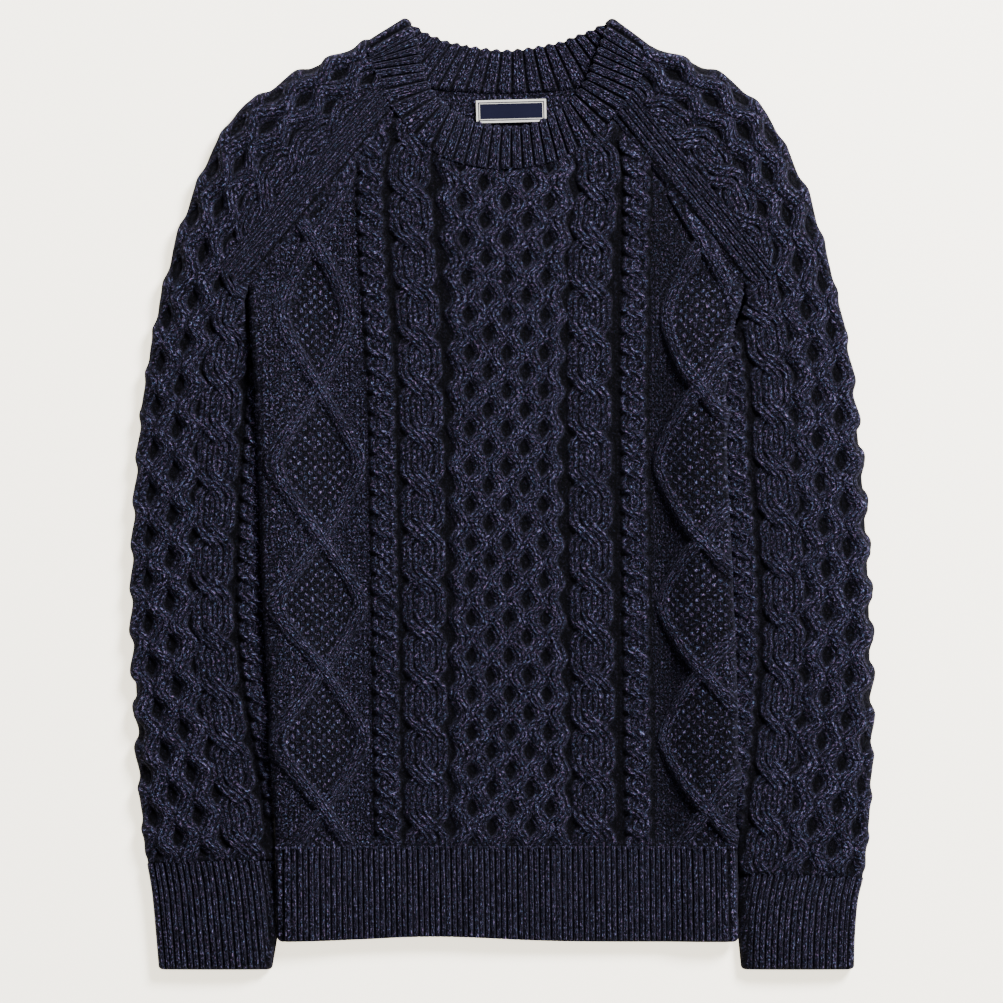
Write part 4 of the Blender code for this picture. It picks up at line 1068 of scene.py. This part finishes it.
def neckband(material):
    front_seam, front_free = band_path(NECK_FRONT, BAND_INSET)
    back_seam, back_free = band_path(NECK_BACK, BAND_INSET)

    def half(seam, free, f, z, face, lean=(0.0, 0.0)):
        # near the shoulders the ribs lean, so that they run level there
        first, last = [np.sin(np.pi * np.clip(g / 0.30, 0, 1)) for g in (f, 1 - f)]
        lag = lean[0] * first - lean[1] * last
        return [(a, b, z, face) for a, b in zip(resample(seam, f - lag), resample(free, f))]

    back_first = np.linspace(BAND_CUT, 1, int(BAND_BACK_RIBS * (1 - BAND_CUT) * BAND_PER_RIB) + 1)
    back_last = np.linspace(0, BAND_CUT + 0.004, int(BAND_BACK_RIBS * BAND_CUT * BAND_PER_RIB) + 1)
    front_all = np.linspace(0, 1, BAND_FRONT_RIBS * BAND_PER_RIB + 1)
    turn_steps = 24
    ring = half(back_seam, back_free, back_first, REST, 0.0)
    ring += band_turn(back_seam[-1], back_free[-1], front_seam[0], front_free[0], np.array(NECK_FRONT[0]),
                      REST, BAND_RISE, turn_steps)
    ring += half(front_seam, front_free, front_all, BAND_RISE, 1.0, BAND_LEAN)
    ring += band_turn(front_seam[-1], front_free[-1], back_seam[0], back_free[0], np.array(NECK_FRONT[-1]),
                      BAND_RISE, REST, turn_steps)
    ring += half(back_seam, back_free, back_last, REST, 0.0)
    steps = np.concatenate([np.linspace(0, 0.9, 26), [0.925, 0.95, 0.97, 0.985, 1.0]])
    grid = np.array([np.column_stack([seam + steps[:, None] * (free - seam),
                                      z + CROWN * np.sin(np.pi * steps) * face])
                     for seam, free, z, face in ring]).transpose(1, 0, 2)
    up = np.array([face for _, _, _, face in ring])[None, :] + np.zeros((len(steps), 1))
    fold = BAND_FOLD_RIBS * np.arange(1, turn_steps + 1) / (turn_steps + 1)
    place = np.arange(len(back_first)) / BAND_PER_RIB
    for part in (front_all, back_last):
        past = place[-1] + BAND_FOLD_RIBS + np.arange(len(part)) / BAND_PER_RIB
        place = np.concatenate([place, place[-1] + fold, past])
    out_way = np.array([unit(free - seam) for seam, free, _, _ in ring])
    scallop = BAND_SCALLOP * np.cos(2 * np.pi * place)[:, None] * out_way
    grid[:, :, :2] += (steps ** 3)[:, None, None] * scallop[None]
    s = place[None, :] * BAND_RIB_UNIT + np.zeros((len(steps), 1))
    width = np.array([np.linalg.norm(free - seam) for seam, free, _, _ in ring])
    t = steps[:, None] * width[None, :]
    wales = rib_wales(BAND_RIB_UNIT, -0.0170, 0.50, lift=0.0013, full=0.225, apart=0.200)
    high = stitch_height(s, t, wales, np.zeros(s.shape))[0]
    way = outward(grid)
    if way[2, len(back_first) + turn_steps + 100, 2] < 0:
        way = -way
    end = rounded_end(width[None, :] - t, 0.0045)
    outside = BAND_WALL * up + REST * (1 - up) + high * ease(up * 1.5)
    outer = grid + way * (outside * end)[:, :, None]
    outer[:, :, 2] = np.maximum(outer[:, :, 2], FLOOR_LIFT)
    # the back half shows its inside, which is ribbed too
    inside = grid - way * (high * (1 - ease(up * 3)) * end * ease(t / 0.003))[:, :, None]
    m, n = s.shape
    points = np.vstack([outer.reshape(-1, 3), inside.reshape(-1, 3)])
    out = np.arange(m * n).reshape(m, n)
    ins = m * n + out
    free_edge = np.stack([out[-1, :-1], out[-1, 1:], ins[-1, 1:], ins[-1, :-1]], -1)
    fine = np.vstack([quads(out), quads(ins)[:, ::-1], free_edge])
    plain_edges = ((out[0, 1:], out[0, :-1], ins[0, :-1], ins[0, 1:]),
                   (out[1:, 0], ins[1:, 0], ins[:-1, 0], out[:-1, 0]),
                   (out[:-1, -1], ins[:-1, -1], ins[1:, -1], out[1:, -1]))
    others = [tuple(f) for edge in plain_edges for f in np.stack(edge, -1)]
    twice = [np.concatenate([a.ravel(), a.ravel()]) for a in (s, t, np.full(s.shape, GROOVE), high)]
    return knit_mesh("neck_rib", points, fine, others, (*twice, wales), material, "neckband")


# Label

def label(cloth):
    w, h = LABEL_SIZE
    c, d = math.cos(LABEL_TURN), math.sin(LABEL_TURN)
    across, up = 54, 18
    points = []
    for layer in (1, 0):
        for j in range(up + 1):
            for i in range(across + 1):
                u = i / across
                v = j / up
                x = (u - 0.5) * w
                y = (v - 0.5) * h
                wave = 0.0005 * math.sin(9 * u + 1.2) * (1 - v) + 0.0007 * (1 - v) ** 2
                z = REST + LABEL_GAP + wave + LABEL_THICK * layer
                points.append((LABEL_CENTRE[0] + c * x - d * y, LABEL_CENTRE[1] + d * x + c * y, z))
    points = np.array(points)
    half = (across + 1) * (up + 1)
    top = np.arange(half).reshape(up + 1, across + 1)
    low = half + top
    faces = list(quads(top)) + list(quads(low)[:, ::-1])
    ring = list(top[0, :]) + list(top[1:, -1]) + list(top[-1, -2::-1]) + list(top[-2:0:-1, 0])
    for k, a in enumerate(ring):
        b = ring[(k + 1) % len(ring)]
        faces.append((a + half, b + half, b, a))
    mesh = bpy.data.meshes.new("neck_label")
    mesh.from_pydata([tuple(map(float, q)) for q in points], [], [tuple(map(int, f)) for f in faces])
    layer = mesh.uv_layers.new(name="weave")
    for loop in mesh.loops:
        k = loop.vertex_index % half
        layer.data[loop.index].uv = ((k % (across + 1)) / across, (k // (across + 1)) / up)
    return add_piece("neck_label", mesh, cloth, "label")


# Materials

class Sums:
    """Short names for math nodes in one tree."""

    def __init__(self, tree):
        self.tree = tree

    def op(self, kind, a, b=None, clamp=False):
        node = self.tree.nodes.new("ShaderNodeMath")
        node.operation = kind
        node.use_clamp = clamp
        for k, value in enumerate((a, b)):
            if value is None:
                continue
            if isinstance(value, (int, float)):
                node.inputs[k].default_value = value
            else:
                self.tree.links.new(value, node.inputs[k])
        return node.outputs[0]

    def add(self, a, b):
        return self.op("ADD", a, b)

    def less(self, a, b):
        return self.op("SUBTRACT", a, b)

    def times(self, a, b):
        return self.op("MULTIPLY", a, b)

    def hump(self, x):
        """0 at whole numbers, 1 half way between."""
        f = self.op("FRACT", x)
        return self.times(self.times(f, self.less(1.0, f)), 4.0)


def stitch_group():
    """Height of the yarn, 0 to 1, from a face's place in its stitch column."""
    group = bpy.data.node_groups.new("knit_stitches", "ShaderNodeTree")
    for socket in ("Across", "Up", "Kind", "Wide"):
        group.interface.new_socket(socket, in_out="INPUT", socket_type="NodeSocketFloat")
    group.interface.new_socket("Height", in_out="OUTPUT", socket_type="NodeSocketFloat")
    given = group.nodes.new("NodeGroupInput")
    result = group.nodes.new("NodeGroupOutput")
    m = Sums(group)
    a = given.outputs["Across"]
    v = given.outputs["Up"]
    size = m.op("MINIMUM", m.op("ABSOLUTE", a), 1.0)
    leg = m.op("POWER", m.hump(m.less(v, m.times(size, 0.75))), 0.4)
    leg = m.add(0.35, m.times(0.65, leg))
    ridge = m.add(0.10, m.times(0.90, m.op("POWER", m.hump(size), 0.7)))
    middle = m.add(0.35, m.times(0.65, m.op("MINIMUM", m.times(size, 3.6), 1.0)))
    round_off = m.op("SQRT", m.less(1.0, m.times(size, size)))
    narrow = m.times(middle, m.add(0.13, m.times(1.12, round_off)))
    wide = given.outputs["Wide"]
    shape = m.add(m.times(wide, ridge), m.times(m.less(1.0, wide), narrow))
    knitted = m.times(leg, shape)
    wave = m.times(0.2, m.op("COSINE", m.times(a, 2 * math.pi)))
    purl = m.times(m.op("POWER", m.hump(m.add(v, wave)), 0.7), m.add(0.55, m.times(0.45, m.hump(a))))
    parity = m.op("FLOORED_MODULO", m.add(m.op("FLOOR", a), m.op("FLOOR", v)), 2.0)
    bump = m.op("POWER", m.times(m.hump(a), m.hump(v)), 0.45)
    moss = m.times(bump, m.add(0.42, m.times(0.78, parity)))
    kind = given.outputs["Kind"]
    is_knit = m.times(m.op("GREATER_THAN", kind, 0.5), m.op("LESS_THAN", kind, 1.5))
    is_moss = m.times(m.op("GREATER_THAN", kind, 1.5), m.op("LESS_THAN", kind, 2.5))
    is_groove = m.op("GREATER_THAN", kind, 2.5)
    is_purl = m.op("LESS_THAN", kind, 0.5)
    total = m.add(m.times(is_knit, knitted),
                  m.add(m.times(is_moss, moss),
                        m.add(m.times(is_purl, purl), m.times(is_groove, m.times(purl, 0.5)))))
    group.links.new(total, result.inputs["Height"])
    return group


# The wool's fibres: place on the ramp and colour, with the darkest and the palest first
HEATHER = (
    (0.39, (0.0002, 0.0002, 0.0009)),
    (0.64, (0.1150, 0.1060, 0.2050)),
    (0.46, (0.0005, 0.0005, 0.0018)),
    (0.52, (0.0030, 0.0028, 0.0080)),
    (0.57, (0.0215, 0.0194, 0.0440)),
)
COLD_FIBRE = (0.72, 1.10, 1.06, 1)
WARM_FIBRE = (1.30, 0.92, 0.94, 1)
# Noises, in cells to the metre
WAVER_CELLS = 230
SWAY_CELLS = 310
HUE_CELLS = 640
FIBRE_CELLS = 2000
COLUMN_CELLS = 190.0


def cloth_material(name, uv_map):
    """A material with its shader, its sums and its two places on the piece's own map."""
    material = bpy.data.materials.new(name)
    material.use_nodes = True
    tree = material.node_tree
    place = tree.nodes.new("ShaderNodeUVMap")
    place.uv_map = uv_map
    split = tree.nodes.new("ShaderNodeSeparateXYZ")
    tree.links.new(place.outputs["UV"], split.inputs[0])
    return material, tree.nodes["Principled BSDF"], Sums(tree), split.outputs["X"], split.outputs["Y"]


def give(node, values):
    """Fixed values for some inputs of a node, by their names."""
    for name, value in values.items():
        node.inputs[name].default_value = value


def add_bump(tree, shader, relief, distance, strength):
    bump = tree.nodes.new("ShaderNodeBump")
    give(bump, {"Distance": distance, "Strength": strength})
    tree.links.new(relief, bump.inputs["Height"])
    tree.links.new(bump.outputs["Normal"], shader.inputs["Normal"])


def wool_material(name, stitches, wide, strokes):
    """Knitted wool.  strokes is how many flecks lie across half a column and up a stitch."""
    material, shader, m, across, up = cloth_material(name, "stitch")
    nodes, links = m.tree.nodes, m.tree.links
    kind = nodes.new("ShaderNodeAttribute")
    kind.attribute_name = "kind"
    painted_light = nodes.new("ShaderNodeAttribute")
    painted_light.attribute_name = "painted_light"
    yarn = nodes.new("ShaderNodeGroup")
    yarn.node_tree = stitches
    yarn.inputs["Wide"].default_value = wide
    links.new(kind.outputs["Fac"], yarn.inputs["Kind"])
    where = nodes.new("ShaderNodeTexCoord")

    def noise(scale, detail=1.0):
        node = nodes.new("ShaderNodeTexNoise")
        give(node, {"Scale": scale, "Detail": detail, "Roughness": 0.6})
        links.new(where.outputs["Object"], node.inputs["Vector"])
        return node.outputs["Fac"]

    waver = m.less(noise(WAVER_CELLS), 0.5)
    sway = m.less(noise(SWAY_CELLS), 0.5)
    links.new(m.add(across, m.times(waver, 0.5)), yarn.inputs["Across"])
    links.new(m.add(up, m.times(sway, 1.8)), yarn.inputs["Up"])
    # the fleck runs along the stitch columns, in short strokes
    fleck = noise(1.0, 2.0)
    drawn = nodes.new("ShaderNodeCombineXYZ")
    links.new(m.times(m.add(across, waver), strokes[0]), drawn.inputs[0])
    links.new(m.times(m.add(up, sway), strokes[1]), drawn.inputs[1])
    # a third place, so that neighbouring columns don't repeat each other
    apart = nodes.new("ShaderNodeSeparateXYZ")
    links.new(where.outputs["Object"], apart.inputs[0])
    links.new(m.times(apart.outputs["X"], COLUMN_CELLS), drawn.inputs[2])
    links.new(drawn.outputs[0], fleck.node.inputs["Vector"])
    fibre = noise(FIBRE_CELLS)
    heather = nodes.new("ShaderNodeValToRGB")
    ramp = heather.color_ramp
    for number, (position, colour) in enumerate(HEATHER):
        element = ramp.elements[number] if number < 2 else ramp.elements.new(position)
        element.position = position
        element.color = (*colour, 1)
    links.new(m.add(m.times(fleck, 0.6), m.times(fibre, 0.4)), heather.inputs["Fac"])
    # painted shade: the colour darkens where the yarn is low, in the creases between stitch legs and columns,
    # and where the point attribute marks grooves, hollows and the valley as unlit
    painted_crease_shade = m.add(0.05, m.times(m.op("POWER", yarn.outputs["Height"], 1.9), 2.2))
    painted_hollow_shade = m.add(0.20, m.times(painted_light.outputs["Fac"], 0.51))
    shade = m.times(painted_crease_shade, painted_hollow_shade)
    hue = nodes.new("ShaderNodeMix")
    hue.data_type = "RGBA"
    hue.inputs[6].default_value = COLD_FIBRE
    hue.inputs[7].default_value = WARM_FIBRE
    links.new(m.op("MULTIPLY", m.less(noise(HUE_CELLS), 0.35), 3.3, clamp=True), hue.inputs[0])
    dyed = nodes.new("ShaderNodeVectorMath")
    dyed.operation = "MULTIPLY"
    links.new(heather.outputs["Color"], dyed.inputs[0])
    links.new(hue.outputs[2], dyed.inputs[1])
    dye_and_shade = nodes.new("ShaderNodeVectorMath")
    dye_and_shade.operation = "SCALE"
    links.new(dyed.outputs[0], dye_and_shade.inputs[0])
    links.new(shade, dye_and_shade.inputs["Scale"])
    links.new(dye_and_shade.outputs[0], shader.inputs["Base Color"])
    give(shader, {"Roughness": 0.92, "Specular IOR Level": 0.05, "Sheen Weight": 0.03,
                  "Sheen Roughness": 0.5, "Sheen Tint": (0.60, 0.60, 1.0, 1)})
    relief = m.add(yarn.outputs["Height"], m.times(fibre, 0.8))
    add_bump(m.tree, shader, relief, 0.0011, 1.0)
    return material


def label_material():
    """A navy field with a pale line and a pale border, and nothing on it."""
    material, shader, m, u, v = cloth_material("woven_label", "weave")
    nodes, links = m.tree.nodes, m.tree.links
    w, h = LABEL_SIZE
    from_side = m.times(m.op("MINIMUM", u, m.less(1.0, u)), w)
    from_end = m.times(m.op("MINIMUM", v, m.less(1.0, v)), h)
    inset = m.op("MINIMUM", from_side, from_end)
    line = m.op("LESS_THAN", m.op("ABSOLUTE", m.less(inset, LABEL_LINE)), LABEL_LINE_HALF)
    border = m.op("MAXIMUM", m.op("LESS_THAN", inset, LABEL_BORDER), line)
    mix = nodes.new("ShaderNodeMix")
    mix.data_type = "RGBA"
    mix.inputs[6].default_value = (0.0040, 0.0045, 0.0160, 1)
    mix.inputs[7].default_value = (0.55, 0.54, 0.52, 1)
    links.new(border, mix.inputs[0])
    links.new(mix.outputs[2], shader.inputs["Base Color"])
    give(shader, {"Roughness": 0.9, "Specular IOR Level": 0.1})
    thread = m.times(m.hump(m.times(u, 108.0)), m.hump(m.times(v, 50.0)))
    add_bump(m.tree, shader, thread, 0.0003, 0.6)
    return material


# Stage

KEY_PLACE = (1.7, 2.1, 2.4)
STUDIO_WHITE = (1.0, 0.985, 0.96)
FLOOR_HALF = 4


def floor():
    mesh = bpy.data.meshes.new("floor")
    corners = [(x * FLOOR_HALF, y * FLOOR_HALF, 0) for x, y in ((-1, -1), (1, -1), (1, 1), (-1, 1))]
    mesh.from_pydata(corners, [], [(0, 1, 2, 3)])
    piece = add_object("floor", mesh)
    material = bpy.data.materials.new("pale_floor")
    material.use_nodes = True
    give(material.node_tree.nodes["Principled BSDF"], {
        "Base Color": (0.95, 0.925, 0.880, 1), "Roughness": 0.9, "Specular IOR Level": 0.1,
        "Emission Color": (1.0, 0.910, 0.710, 1), "Emission Strength": 2.25})
    mesh.materials.append(material)


def lights():
    world = bpy.data.worlds.new("studio")
    bpy.context.scene.world = world
    world.use_nodes = True
    give(world.node_tree.nodes["Background"], {"Color": (*STUDIO_WHITE, 1), "Strength": 0.50})
    data = bpy.data.lights.new("key", "AREA")
    data.size = 1.1
    data.energy = 520
    data.color = STUDIO_WHITE
    lamp = add_object("key", data)
    lamp.location = KEY_PLACE
    x, y, z = KEY_PLACE
    lamp.rotation_euler = (math.atan2(math.hypot(x, y), z), 0, math.atan2(-x, y) + math.pi)


PHOTO_WIDE = 0.77234     # what the frame's 1003 pixels span at the sweater
CAMERA_HIGH = 4.0


def camera():
    data = bpy.data.cameras.new("camera")
    data.sensor_fit = "HORIZONTAL"
    data.sensor_width = 36
    data.lens = 36 * (CAMERA_HIGH - 0.012) / PHOTO_WIDE
    thing = add_object("camera", data)
    thing.location = (-0.0008, -0.0050, CAMERA_HIGH)
    bpy.context.scene.camera = thing


camera()
lights()
floor()
stitches = stitch_group()
cable_knit = wool_material("cable_knit", stitches, 1.0, (5.2, 2.1))
rib_knit = wool_material("rib_knit", stitches, 0.0, (2.4, 2.1))
left_necks = (neck_line(0, FRONT_RAGLAN[0], NECK_FRONT),
              neck_line(BACK_RAGLAN[0], len(NECK_BACK) - 1, NECK_BACK)[::-1])
right_necks = (neck_line(FRONT_RAGLAN[1], len(NECK_FRONT) - 1, NECK_FRONT)[::-1],
               neck_line(0, BACK_RAGLAN[1], NECK_BACK))
front = front_panel(cable_knit)
back = back_panel(cable_knit)
hem = front_hem(rib_knit)
hem_under = back_hem(rib_knit)
sleeve_left = sleeve("sleeve_left_knit", SLEEVE_LEFT, RAGLAN_LEFT, left_necks, LEFT_STARTS,
                     cable_knit, "sleeve_left")
sleeve_right = sleeve("sleeve_right_knit", SLEEVE_RIGHT, RAGLAN_RIGHT, right_necks, RIGHT_STARTS,
                      cable_knit, "sleeve_right")
cuff_left = cuff("cuff_left_rib", CUFF_LEFT, rib_knit, "cuff_left")
cuff_right = cuff("cuff_right_rib", CUFF_RIGHT, rib_knit, "cuff_right")
band = neckband(rib_knit)
tag = label(label_material())
